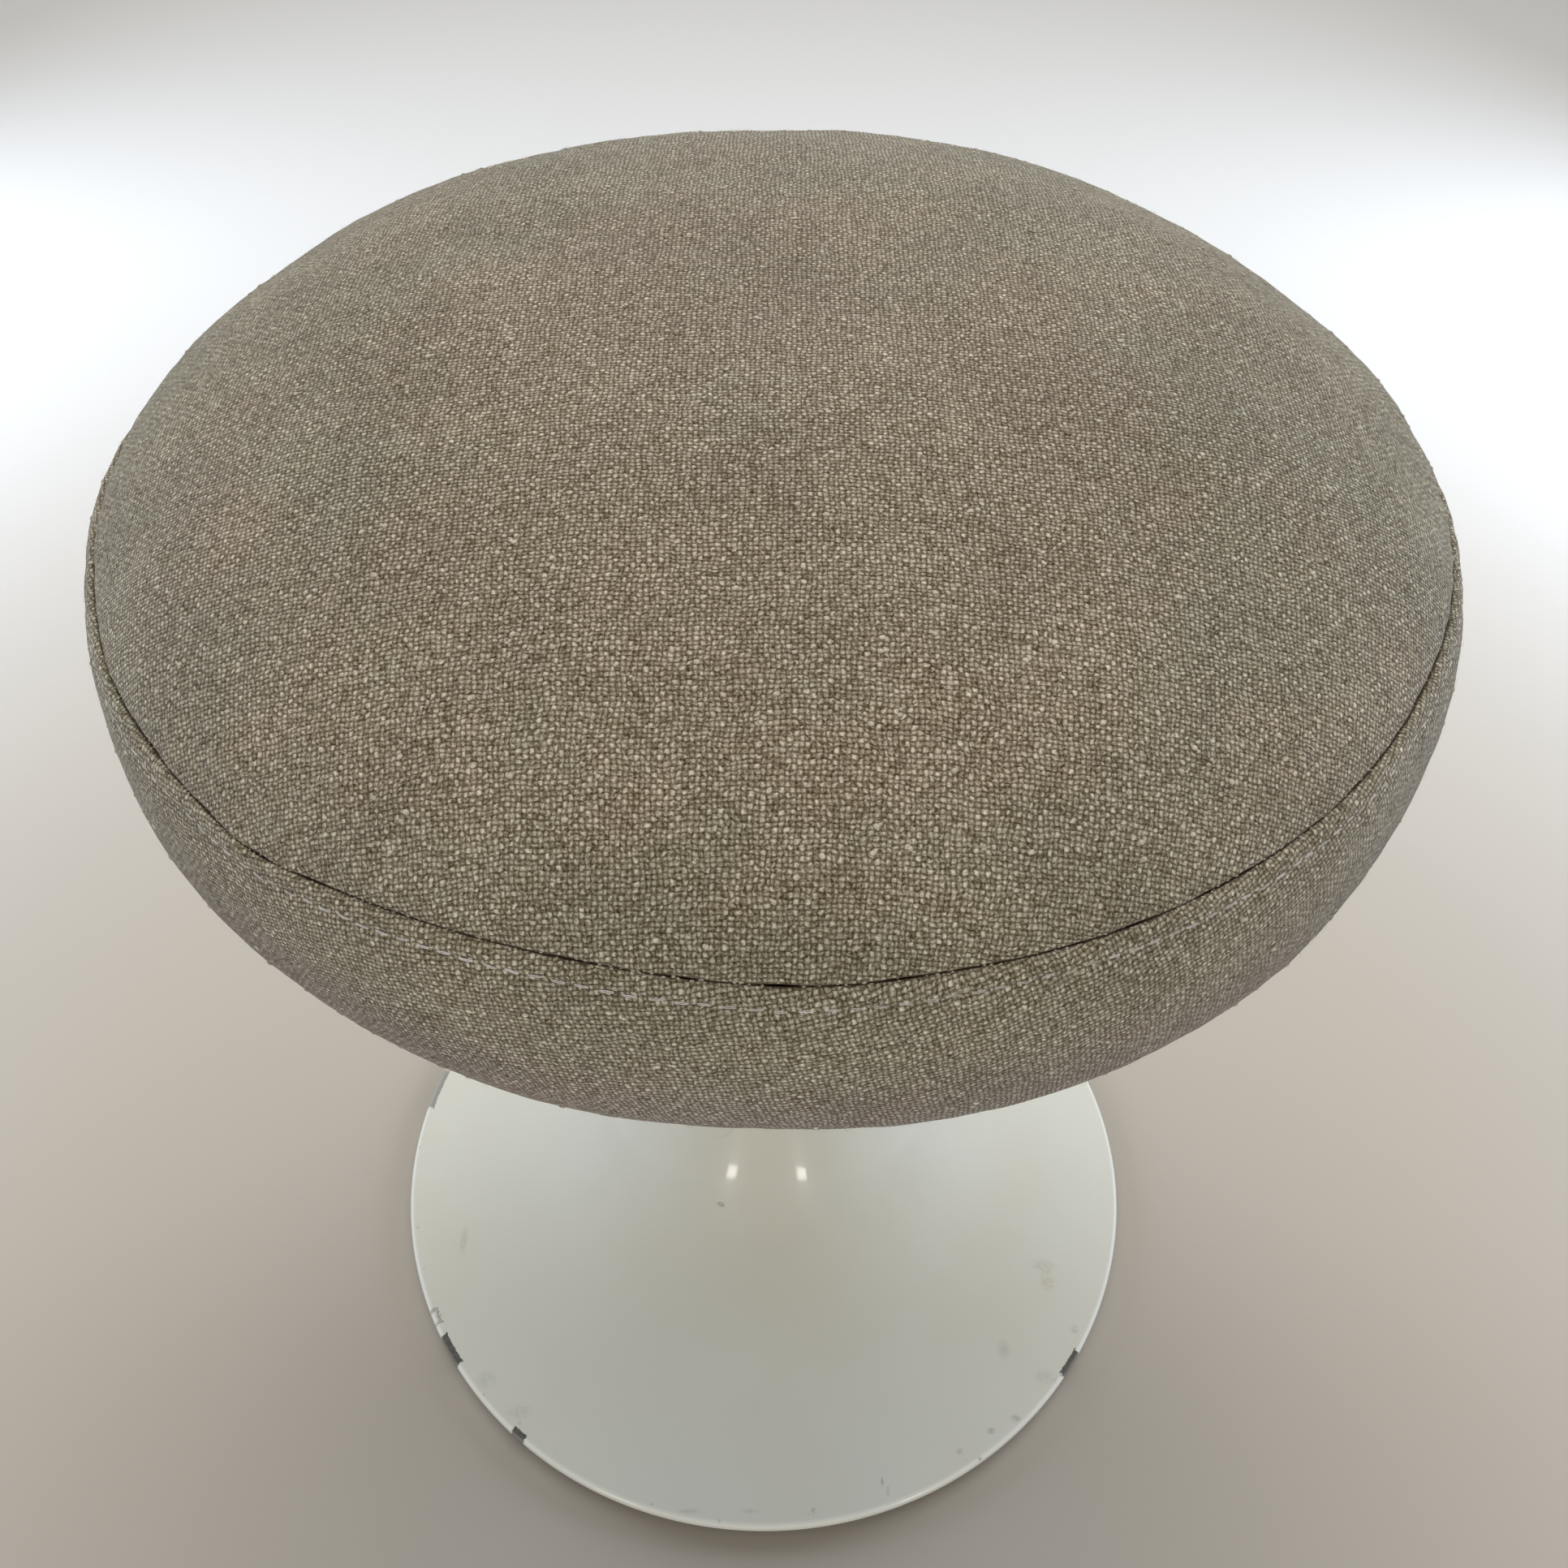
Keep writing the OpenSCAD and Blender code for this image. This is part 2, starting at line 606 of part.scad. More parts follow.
// Open retaining ring with two eyelets, snapped into the spindle's groove
module retaining_ring() color([0.35, 0.35, 0.37]) translate([0, 0, ring_top - ring_t]) linear_extrude(ring_t)
    difference() {
        union() {
            circle(r = ring_r + ring_w);
            for (side = [-1, 1]) rotate([0, 0, side * 14]) translate([ring_r + ring_w - 0.5, 0]) circle(r = 2.2);
        }
        circle(r = ring_r + run_gap);
        translate([0, -1.2]) square([2 * (ring_r + ring_w), 2.4]);
        for (side = [-1, 1]) rotate([0, 0, side * 14]) translate([ring_r + ring_w - 0.5, 0]) circle(r = 0.9);
    }

pedestal();
base_glides();
bearing_housing();
housing_screws();
upper_bush();
lower_bush();
lower_race();
ball_cage();
bearing_balls();
upper_race();
spindle();
mounting_plate();
plate_washers();
plate_screws();
tee_nuts();
seat_board();
foam_pad();
wadding();
cover_top();
cover_band();
cover_staples();
dust_cover();
dust_staples();
retaining_washer();
wave_washer();
retaining_ring();
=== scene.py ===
"""Looks of a swivelling pedestal stool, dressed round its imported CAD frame.

The classes hold their sizes in millimetres and every mesh is in metres, +Z up, on the CAD's own origin. The
stool's front faces -Y, and azimuths are degrees counted from +X towards +Y.
"""

import logging
import math
from collections.abc import Sequence
from dataclasses import dataclass, field
from enum import Enum

import bpy
import numpy as np
from mathutils import Matrix, Vector


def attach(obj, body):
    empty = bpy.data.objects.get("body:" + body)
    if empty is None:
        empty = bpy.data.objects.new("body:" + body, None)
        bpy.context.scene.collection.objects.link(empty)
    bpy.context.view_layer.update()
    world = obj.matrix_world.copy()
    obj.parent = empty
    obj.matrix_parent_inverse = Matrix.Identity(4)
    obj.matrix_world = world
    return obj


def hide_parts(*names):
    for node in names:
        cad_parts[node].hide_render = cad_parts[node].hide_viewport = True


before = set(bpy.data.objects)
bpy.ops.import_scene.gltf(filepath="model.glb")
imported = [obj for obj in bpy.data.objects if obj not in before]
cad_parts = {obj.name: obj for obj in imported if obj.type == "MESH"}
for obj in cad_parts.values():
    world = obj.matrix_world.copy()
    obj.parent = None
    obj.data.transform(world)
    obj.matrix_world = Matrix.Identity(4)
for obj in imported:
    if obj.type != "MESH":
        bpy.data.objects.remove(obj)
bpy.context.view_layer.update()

MM = 0.001
PER_M = 1000.0
log = logging.getLogger("stool")

# Azimuth of the band's join at the back, radius of the foot, and height of the seat board's lower face.
BACK = 90.0
FOOT_R = 164.0
BOARD_FOOT = 332.6

Array = np.ndarray
Material = bpy.types.Material
Colour = tuple[float, float, float, float]


def srgb(red: float, green: float, blue: float) -> Colour:
    """Linear colour of a display colour, whose parts run from 0 to 255: c / 12.92 or ((c + 0.055) /
    1.055)^2.4."""
    shares = [part / 255 for part in (red, green, blue)]
    linear = [c / 12.92 if c < 0.04045 else ((c + 0.055) / 1.055) ** 2.4 for c in shares]
    return (*linear, 1.0)


# Numbers on grids.


def polar(radius: Array | float, height: Array | float, azimuth: Array | float) -> Array:
    """Points (r cos a, r sin a, z) in metres.

    Args:
        radius: r in mm.
        height: z in mm.
        azimuth: a in degrees.

    Returns:
        An array whose last axis holds x, y and z.
    """
    r, z, a = np.broadcast_arrays(radius, height, np.radians(azimuth))
    return np.stack([r * np.cos(a), r * np.sin(a), z], -1) * MM


def eased(values: Array, passes: int, axis: int, ring: bool) -> Array:
    """Values smoothed along an axis: each becomes a quarter of its neighbours and half of itself, pass after
    pass.

    Args:
        values: The grid of values.
        passes: How many times.
        axis: The axis to smooth along.
        ring: Whether that axis closes on itself. The ends of an open one stay as they are.

    Returns:
        The smoothed grid.
    """
    values = np.moveaxis(values, axis, 0)
    for _ in range(passes):
        fresh = (np.roll(values, 1, 0) + 2 * values + np.roll(values, -1, 0)) / 4
        if not ring:
            fresh[0], fresh[-1] = values[0], values[-1]
        values = fresh
    return np.moveaxis(values, 0, axis)


def between_rows(values: Array, at: Array, to: Array) -> Array:
    """Rows of values known at stations, read at other stations on the straight line between neighbours.

    Args:
        values: The rows.
        at: Their stations.
        to: The stations to read.

    Returns:
        A row for each.
    """
    above = np.clip(np.searchsorted(at, to), 1, len(at) - 1)
    share = ((to - at[above - 1]) / (at[above] - at[above - 1])).reshape(-1, *([1] * (values.ndim - 1)))
    return values[above - 1] * (1 - share) + values[above] * share


def outward_at(azimuth: Array) -> Array:
    """Unit vectors (cos a, sin a, 0) away from the axis, for azimuths in degrees."""
    turned = np.radians(azimuth)
    return np.stack([np.cos(turned), np.sin(turned), 0 * turned], -1)


def sideways_at(azimuth: Array) -> Array:
    """Unit vectors (-sin a, cos a, 0) round the axis, for azimuths in degrees."""
    turned = np.radians(azimuth)
    return np.stack([-np.sin(turned), np.cos(turned), 0 * turned], -1)


@dataclass(frozen=True)
class Ripple:
    """Smooth seeded unevenness: its height in mm, its seed, and its shortest and longest wave in mm."""

    height: float
    seed: int
    shortest: float
    longest: float
    waves: int = 26

    def at(self, points: Array) -> Array:
        """Unevenness at points: height / sqrt(waves) times the sum over the plane waves of sin(k . p + a).

        Args:
            points: Places in metres, on the last axis.

        Returns:
            One value in mm for each point, mostly within the height.
        """
        rng = np.random.default_rng(self.seed)
        way = rng.normal(size=(self.waves, 3))
        length = rng.uniform(self.shortest, self.longest, self.waves) * MM
        way *= (2 * math.pi / length / np.linalg.norm(way, axis=1))[:, None]
        phase = points.reshape(-1, 3) @ way.T + rng.uniform(0, 2 * math.pi, self.waves)
        return self.height * (np.sin(phase).sum(1) / math.sqrt(self.waves)).reshape(points.shape[:-1])


def grid_normals(points: Array) -> Array:
    """Unit normals of a grid that closes along its columns: the step down its rows x the step along them.

    Args:
        points: The grid.

    Returns:
        A normal for each point.
    """
    down = np.gradient(points, axis=0)
    along = np.roll(points, -1, 1) - np.roll(points, 1, 1)
    normal = np.cross(down, along)
    return normal / np.maximum(np.linalg.norm(normal, axis=-1, keepdims=True), 1e-12)


def arc_down(points: Array) -> Array:
    """Length in mm walked down the rows to each point: the running sum of the distances between rows."""
    steps = np.linalg.norm(np.diff(points, axis=0), axis=-1) / MM
    return np.concatenate([np.zeros((1, points.shape[1])), np.cumsum(steps, 0)])


def arc_up(points: Array) -> Array:
    """The same length, walked up from the last row."""
    return arc_down(points[::-1])[::-1]


def grid_quads(rows: int, columns: int, loop: bool = False) -> Array:
    """Corners of the quads of a grid that closes along its columns.

    Point (i, j) is number i * columns + j, and a quad is (i, j), (i, j + 1), (i + 1, j + 1), (i + 1, j).

    Args:
        rows: Rows of points.
        columns: Points in a row.
        loop: Whether the grid closes along its rows too.

    Returns:
        Four point numbers for each quad.
    """
    i = np.arange(rows if loop else rows - 1)[:, None]
    j = np.arange(columns)[None, :]
    down, right = (i + 1) % rows, (j + 1) % columns
    corners = (i * columns + j, i * columns + right, down * columns + right, down * columns + j)
    return np.stack(np.broadcast_arrays(*corners), -1).reshape(-1, 4)


def grid_corners(values: Array, rows: int, columns: int, loop: bool = False) -> Array:
    """Values at the same quads' corners, from a grid with one more column, and one more row if loop.

    Args:
        values: The grid of values.
        rows: Rows of points.
        columns: Points in a row.
        loop: Whether the grid closes along its rows too.

    Returns:
        Four values for each quad.
    """
    i = np.arange(rows if loop else rows - 1)[:, None]
    j = np.arange(columns)[None, :]
    corners = (values[i, j], values[i, j + 1], values[i + 1, j + 1], values[i + 1, j])
    return np.stack(corners, 2).reshape(-1, 4, values.shape[-1])


def fan(pole: int, ring: Array) -> Array:
    """Corners of the triangles from a pole to each side of a closed ring: (pole, k, k + 1)."""
    return np.stack([np.full(len(ring), pole), ring, np.roll(ring, -1)], 1)


def turned_over(triangles: Array) -> Array:
    """The same triangles, facing the other way."""
    return triangles[:, [0, 2, 1]]


@dataclass
class Skin:
    """A surface on its way to a mesh, with the cloth coordinates of its corners where it has them."""

    points: Array
    quads: Array
    tris: Array = field(default_factory=lambda: np.empty((0, 3), int))
    quad_cloth: Array | None = None
    tri_cloth: Array | None = None

    def outward(self) -> "Skin":
        """Turns every face round if the enclosed volume, a sixth of the sum of a . (b x c), is negative.

        Returns:
            The skin itself.
        """
        split = np.concatenate([self.quads[:, [0, 1, 2]], self.quads[:, [0, 2, 3]], self.tris])
        a, b, c = (self.points[split[:, k]] for k in range(3))
        if np.einsum("ij,ij->", a, np.cross(b, c)) < 0:
            self.quads, self.tris = self.quads[:, ::-1], self.tris[:, ::-1]
            if self.quad_cloth is not None:
                self.quad_cloth = self.quad_cloth[:, ::-1]
            if self.tri_cloth is not None:
                self.tri_cloth = self.tri_cloth[:, ::-1]
        return self

    def piece(
        self,
        name: str,
        finishes: Sequence[Material],
        values: dict[str, Array] | None = None,
        face_finish: Array | None = None,
        crease: float = 60.0,
    ) -> bpy.types.Object:
        """Makes the mesh object.

        Args:
            name: The piece's name.
            finishes: Its materials.
            values: Named numbers for each point, which the materials read.
            face_finish: Which finish each face takes, quads first.
            crease: Angle in degrees past which an edge shows sharp.

        Returns:
            The object, at the origin.
        """
        mesh = bpy.data.meshes.new(name)
        mesh.from_pydata(self.points.tolist(), [], self.quads.tolist() + self.tris.tolist())
        for finish in finishes:
            mesh.materials.append(finish)
        if face_finish is not None:
            mesh.polygons.foreach_set("material_index", face_finish.astype(np.int32))
        for key, numbers in (values or {}).items():
            named = mesh.attributes.new(key, "FLOAT", "POINT")
            named.data.foreach_set("value", numbers.astype(np.float32).ravel())
        if self.quad_cloth is not None:
            corners = [self.quad_cloth.reshape(-1, 2)]
            if self.tri_cloth is not None:
                corners.append(self.tri_cloth.reshape(-1, 2))
            layer = mesh.uv_layers.new(name="weave")
            layer.data.foreach_set("uv", np.concatenate(corners).astype(np.float32).ravel())
        mesh.shade_smooth()
        mesh.set_sharp_from_angle(angle=math.radians(crease))
        made = bpy.data.objects.new(name, mesh)
        bpy.context.scene.collection.objects.link(made)
        return made


def sweep(paths: Array, radii: Array, up: Array, sides: int) -> Skin:
    """Many short threads at once, each a round section carried along its own path.

    A ring's points are p + r (cos t * side + sin t * lift), where side is the path's direction crossed with
    up, and lift is side crossed with that direction.

    Args:
        paths: Points of each path in metres, as (threads, steps, 3).
        radii: Radius in metres at each step, as (threads, steps).
        up: A direction away from each path, as (threads, 3).
        sides: Points round each ring.

    Returns:
        All threads as one skin, closed at their ends.
    """
    count, steps = paths.shape[:2]
    way = np.gradient(paths, axis=1)
    way /= np.linalg.norm(way, axis=-1, keepdims=True)
    side = np.cross(way, up[:, None, :])
    side /= np.maximum(np.linalg.norm(side, axis=-1, keepdims=True), 1e-9)
    lift = np.cross(side, way)
    turn = np.arange(sides) * 2 * math.pi / sides
    ring = np.cos(turn)[:, None] * side[:, :, None] + np.sin(turn)[:, None] * lift[:, :, None]
    points = (paths[:, :, None] + radii[:, :, None, None] * ring).reshape(-1, 3)
    quads = grid_quads(steps, sides)
    cap = np.array([(0, k, k + 1) for k in range(1, sides - 1)])
    caps = np.concatenate([cap[:, ::-1], cap + (steps - 1) * sides])
    shift = (np.arange(count) * steps * sides)[:, None, None]
    return Skin(points, (quads + shift).reshape(-1, 4), (caps + shift).reshape(-1, 3)).outward()


# Finishes.


class Sock:
    """A value on its way through a node tree. The usual operators add Math nodes."""

    def __init__(self, tree: "Tree", socket: bpy.types.NodeSocket) -> None:
        """Wraps a socket of a tree."""
        self.tree, self.socket = tree, socket

    def op(self, operation: str, *others: "Sock | float") -> "Sock":
        """One Math node on this value and the others."""
        return self.tree.math(operation, self, *others)

    def __add__(self, other: "Sock | float") -> "Sock":
        """Sum."""
        return self.op("ADD", other)

    def __sub__(self, other: "Sock | float") -> "Sock":
        """Difference."""
        return self.op("SUBTRACT", other)

    def __mul__(self, other: "Sock | float") -> "Sock":
        """Product."""
        return self.op("MULTIPLY", other)

    def __truediv__(self, other: "Sock | float") -> "Sock":
        """Quotient."""
        return self.op("DIVIDE", other)

    def __rsub__(self, other: float) -> "Sock":
        """A number less this value."""
        return self.tree.math("SUBTRACT", other, self)

    __radd__ = __add__
    __rmul__ = __mul__

    def rise(self, low: float, high: float) -> "Sock":
        """0 below low and 1 above high, with a smooth step between. It falls where low is the larger."""
        if low > high:
            return 1 - self.rise(high, low)
        return self.tree.node(
            "ShaderNodeMapRange", {"interpolation_type": "SMOOTHSTEP"},
            {"Value": self, "From Min": low, "From Max": high, "To Min": 0.0, "To Max": 1.0},
        )

    def clamped(self) -> "Sock":
        """This value, or 0 or 1 where it lies beyond them."""
        return self.op("MAXIMUM", 0.0).op("MINIMUM", 1.0)

    def hypot(self, other: "Sock") -> "Sock":
        """Length of (this value, the other)."""
        return (self * self + other * other).op("SQRT")

    def twin(self, name: str) -> "Sock":
        """Another output of the node that this value comes from."""
        return Sock(self.tree, self.socket.node.outputs[name])


class Tree:
    """A material and the nodes that are put into it."""

    def __init__(self, name: str) -> None:
        """Starts an empty material."""
        self.material = bpy.data.materials.new(name)
        self.material.use_nodes = True
        self.material.node_tree.nodes.clear()

    def node(
        self, kind: str, settings: dict | None = None, inputs: dict | None = None, out: int | str = 0,
    ) -> Sock:
        """Adds a node.

        Args:
            kind: The node's type.
            settings: Its properties.
            inputs: Values or links of its sockets, by name or number.
            out: Which output is returned.

        Returns:
            That output.
        """
        tree = self.material.node_tree
        made = tree.nodes.new(kind)
        for key, value in (settings or {}).items():
            setattr(made, key, value)
        for key, value in (inputs or {}).items():
            if isinstance(value, Sock):
                tree.links.new(value.socket, made.inputs[key])
            else:
                made.inputs[key].default_value = value
        return Sock(self, made.outputs[out])

    def math(self, operation: str, *terms: Sock | float) -> Sock:
        """One Math node."""
        return self.node("ShaderNodeMath", {"operation": operation}, dict(enumerate(terms)))

    def vector(self, operation: str, *terms: Sock | Sequence[float], out: int | str = 0) -> Sock:
        """One Vector Math node."""
        return self.node("ShaderNodeVectorMath", {"operation": operation}, dict(enumerate(terms)), out)

    def apart(self, a: Sock, b: Sequence[float]) -> Sock:
        """Distance between two points."""
        return self.vector("DISTANCE", a, b, out="Value")

    def parts(self, vector: Sock) -> tuple[Sock, Sock, Sock]:
        """X, Y and Z of a vector."""
        x = self.node("ShaderNodeSeparateXYZ", None, {0: vector})
        return x, x.twin("Y"), x.twin("Z")

    def place(self) -> Sock:
        """The point's own coordinates in metres."""
        return self.node("ShaderNodeTexCoord", out="Object")

    def noise(self, where: Sock, scale: float, detail: float = 2.0, rough: float = 0.5, out: int = 0) -> Sock:
        """Soft noise: output 0 is a value near 0.5, output 1 a colour of three such values."""
        return self.node(
            "ShaderNodeTexNoise", {"noise_dimensions": "3D"},
            {"Vector": where, "Scale": scale, "Detail": detail, "Roughness": rough}, out,
        )

    def number(self, name: str) -> Sock:
        """A named number of the mesh's points."""
        return self.node("ShaderNodeAttribute", {"attribute_name": name}, out="Fac")

    def mix(self, share: Sock | float, a: Sock | Colour, b: Sock | Colour, blend: str = "MIX") -> Sock:
        """Colour a turned towards b, or blended with it, by a share."""
        settings = {"data_type": "RGBA", "blend_type": blend}
        return self.node("ShaderNodeMix", settings, {0: share, 6: a, 7: b}, 2)

    def tint(self, share: Sock | float, colour: Sock, tint: Colour) -> Sock:
        """Colour turned by a share towards itself times a tint."""
        return self.mix(share, colour, self.mix(1.0, colour, tint, "MULTIPLY"))

    def bump(self, height: Sock, distance: float) -> Sock:
        """Normals of a height of so many metres."""
        return self.node("ShaderNodeBump", None, {"Height": height, "Distance": distance, "Strength": 1.0})

    def finish(self, **sockets: Sock | float | Colour) -> Material:
        """Closes the tree with one surface shader.

        Args:
            **sockets: Values or links of the shader's sockets, with _ for a blank.

        Returns:
            The material.
        """
        inputs = {name.replace("_", " "): value for name, value in sockets.items()}
        self.node_out(self.node("ShaderNodeBsdfPrincipled", None, inputs))
        return self.material

    def node_out(self, shader: Sock) -> None:
        """Sends a shader to the material's surface."""
        end = self.material.node_tree.nodes.new("ShaderNodeOutputMaterial")
        self.material.node_tree.links.new(shader.socket, end.inputs["Surface"])


@dataclass(frozen=True)
class WeaveSpot:
    """What the weave says at a spot.

    tuft is how far it stands up and bead how near it is to the middle of a yarn on top. tone is the yarn's
    own shade, slub how far it is thickened, chance a number for each crossing, lint a fine one and clump a
    broad one.
    """

    tuft: Sock
    bead: Sock
    tone: Sock
    slub: Sock
    chance: Sock
    lint: Sock
    clump: Sock


@dataclass(frozen=True)
class WovenCloth:
    """Nubby upholstery cloth: a plain weave of yarns that wander, swell and change shade along their length,
    with painted shade in the creases and gaps where they cross, painted highlights on the beads, lighter
    slubs, soft tinted patches, painted shade low on the band and in one patch, and a grazing sheen.

    The pitch of weft and warp is in mm, and places and heights are in metres. The drifts lead both sets of
    yarns astray, as (noise scale per crossing, crossings). rosy, mossy, the low painted shade and sheen,
    dull and fresh multiply the colour.
    """

    name: str = "woven_cloth"
    pitch: tuple[float, float] = (1.24, 1.17)
    rise: float = 0.42
    drifts: tuple[tuple[float, float], ...] = ((0.13, 1.7), (0.8, 0.7))
    # Painted shade: the dark colour of the gaps and creases between the yarns.
    gap_shade: Colour = srgb(62, 49, 16)
    shade: Colour = srgb(155, 147, 127)
    # Painted highlight colour on the tops of the beads.
    light: Colour = srgb(226, 221, 207)
    slub: Colour = srgb(221, 215, 202)
    # Painted shade of the seam's groove.
    seam: Colour = srgb(84, 69, 50)
    rosy: Colour = (1.05, 0.988, 0.98, 1.0)
    rosy_scale: float = 26.0
    mossy: Colour = (0.985, 1.0, 0.99, 1.0)
    mossy_scale: float = 19.0
    dull: Colour = (0.98, 0.99, 0.975, 1.0)
    fresh: Colour = (1.135, 1.145, 1.125, 1.0)
    nap_scale: float = 21.0
    # Painted shade and sheen low on the band: this tint, fading in between the two heights in metres below.
    low_shade_tint: Colour = (0.83, 0.81, 0.9, 1.0)
    low_shade_from: float = 0.384
    low_shade_to: float = 0.356
    worn_at: tuple[float, float, float] = (-0.01, -0.06, 0.44)
    worn_edge: tuple[float, float] = (0.17, 0.05)
    # Painted shade: a darker patch on the right of the crown, its middle in metres and reach as (none, full).
    painted_shade_at: tuple[float, float, float] = (0.113, -0.06, 0.432)
    painted_shade_edge: tuple[float, float] = (0.065, 0.01)
    # Painted seam shade: none this far from the seam in mm, full this near.
    seam_shade_reach: tuple[float, float] = (0.5, 0.26)
    relief: float = 0.00045

    def yarns(self, t: Tree, along: Sock, across: Sock, over: float) -> tuple[Sock, Sock, Sock, Sock]:
        """One set of yarns.

        Yarn n = floor(across) has the profile sqrt(1 - d^2), where d is the distance from its wandering
        middle over its swelling half width. It goes over and under the others as over * cos(pi (along - 0.5 -
        n)).

        Args:
            t: The tree.
            along: Place along the yarns, in crossings.
            across: Place across them.
            over: 1 for the weft and -1 for the warp.

        Returns:
            Height, how far the spot belongs to a bead on top, and two chances that change along each yarn.
        """
        n = across.op("FLOOR")
        own = t.node("ShaderNodeCombineXYZ", None, {0: along * 0.7, 1: n * 9.7, 2: over * 4.0})
        wander, swell, tone = t.parts(t.noise(own, 1.0, 2.0, out=1))
        aside = (across - n - 0.5 + (wander - 0.5) * 0.8) / (swell * 0.6 + 0.22)
        profile = (1 - aside * aside).op("MAXIMUM", 0.0).op("SQRT")
        turn = ((along - 0.5 - n + (tone - 0.5) * 0.3) * math.pi).op("COSINE") * over
        bead = profile * (turn + 0.12 * over).op("MAXIMUM", 0.0)
        return profile + turn * self.rise + swell * 0.6, bead, (tone - 0.5) * 2.2 + 0.5, swell

    def weave(self, t: Tree) -> WeaveSpot:
        """Lays the weave: the higher of weft and warp shows, and it is creased where their heights are near.

        Args:
            t: The tree, whose mesh has the map weave in metres of cloth.

        Returns:
            What the weave says at the spot.
        """
        per_metre = (PER_M / self.pitch[0], PER_M / self.pitch[1], 0.0)
        cloth = t.vector("MULTIPLY", t.node("ShaderNodeUVMap", {"uv_map": "weave"}), per_metre)
        for scale, sway in self.drifts:
            drift = t.vector("SUBTRACT", t.noise(cloth, scale, 1.0, out=1), (0.5, 0.5, 0.5))
            cloth = t.vector("MULTIPLY_ADD", drift, (sway, sway, 0.0), cloth)
        x, y, _ = t.parts(cloth)
        weft, weft_bead, weft_tone, weft_swell = self.yarns(t, x, y, 1.0)
        warp, warp_bead, warp_tone, warp_swell = self.yarns(t, y, x, -1.0)
        on_top = weft.op("GREATER_THAN", warp)
        tone = t.node("ShaderNodeMix", None, {0: on_top, 2: warp_tone - 0.12, 3: weft_tone + 0.06})
        swell = t.node("ShaderNodeMix", None, {0: on_top, 2: warp_swell, 3: weft_swell})
        crease = (weft - warp).op("ABSOLUTE").rise(0.0, 0.8)
        hollow = weft.op("MAXIMUM", warp).rise(0.6, 1.6)
        bead = weft_bead.op("MAXIMUM", warp_bead)
        tuft = crease * hollow * 0.4 + bead * 0.6
        cell = t.node("ShaderNodeCombineXYZ", None, {0: x.op("FLOOR"), 1: y.op("FLOOR")})
        return WeaveSpot(
            tuft=tuft, bead=bead, tone=tone, slub=swell.rise(0.62, 0.72) * tuft,
            chance=t.node("ShaderNodeTexWhiteNoise", {"noise_dimensions": "2D"}, {"Vector": cell}),
            lint=(t.noise(cloth, 2.0, 3.0, 0.75) - 0.5) * 3.2 + 0.5,
            clump=t.noise(cloth, 0.5, 2.0, 0.7) - 0.5,
        )

    def yarn_colour(self, t: Tree, spot: WeaveSpot) -> Sock:
        """Colour of the yarn: from painted shade in the gaps and creases to its shade, with painted
        highlights on the beads, and lighter on the slubs.

        Args:
            t: The tree.
            spot: The weave at each point.

        Returns:
            The colour.
        """
        # Painted shade: darker where the weave is creased and hollow, lighter where it stands up.
        share = spot.tuft.rise(0.0, 0.7) * 0.46 + (spot.tone - 0.5) * 0.32 + (spot.chance - 0.5) * 0.26
        share = share + (spot.lint - 0.5) * 0.75 + spot.clump * 0.5 + 0.26
        colour = t.mix(share.clamped(), self.gap_shade, self.shade)
        # Painted highlights on the tops of the beads.
        painted_highlight = (spot.bead * 0.75 + 0.15) * (spot.lint * 0.8 + spot.tone * 0.5 + spot.chance * 0.3)
        colour = t.mix(painted_highlight.rise(0.3, 1.3), colour, self.light)
        return t.mix(spot.slub * 0.4, colour, self.slub)

    def patched(self, t: Tree, colour: Sock) -> Sock:
        """The colour in soft patches: rosy mostly where it is sat on, mossy by chance, darker and greyer low
        on the band by painted shade and sheen, lighter or darker in broad patches, and darker in a painted
        shade patch on the right of the crown.

        Args:
            t: The tree.
            colour: The yarn's colour.

        Returns:
            The patched colour.
        """
        place = t.place()
        worn = t.apart(place, self.worn_at).rise(*self.worn_edge)
        rosy = t.noise(place, self.rosy_scale, 3.0, 0.6) + worn * 0.3
        colour = t.tint((rosy - 0.13).rise(0.4, 0.64), colour, self.rosy)
        mossy = t.noise(t.vector("ADD", place, (0.31, 0.17, 0.05)), self.mossy_scale, 3.0, 0.6)
        colour = t.tint(mossy.rise(0.44, 0.64), colour, self.mossy)
        # Painted shade and sheen: darker and greyer towards the bottom of the band.
        colour = t.tint(t.parts(place)[2].rise(self.low_shade_from, self.low_shade_to), colour, self.low_shade_tint)
        broad = t.noise(t.vector("ADD", place, (0.13, 0.4, 0.22)), self.nap_scale, 3.0, 0.6)
        # Painted shade patch on the right of the crown, which pushes the broad patches darker there.
        broad = broad - t.apart(place, self.painted_shade_at).rise(*self.painted_shade_edge) * 0.26
        nap = t.mix(broad.rise(0.34, 0.66), self.dull, self.fresh)
        return t.mix(1.0, colour, nap, "MULTIPLY")

    def build(self) -> Material:
        """Makes the material.

        Returns:
            The material, which reads the map weave and the number edge, the distance in mm from the seam.
        """
        t = Tree(self.name)
        spot = self.weave(t)
        colour = self.patched(t, self.yarn_colour(t, spot))
        # Painted shade of the seam's groove: the colour turns to the seam colour close to the seam.
        edge = t.number("edge") + (spot.lint - 0.5) * 0.13 + (spot.chance - 0.5) * 0.08
        colour = t.mix(edge.rise(*self.seam_shade_reach) * 0.92, colour, self.seam)
        relief = spot.tuft * 0.6 + spot.slub * 0.3 + spot.lint * 0.25 + spot.chance * spot.tuft * 0.2
        return t.finish(
            Base_Color=colour, Roughness=0.96 - spot.slub * 0.1, Normal=t.bump(relief, self.relief),
            Specular_IOR_Level=0.22, Sheen_Weight=0.26, Sheen_Roughness=0.42, Sheen_Tint=srgb(206, 206, 228),
        )


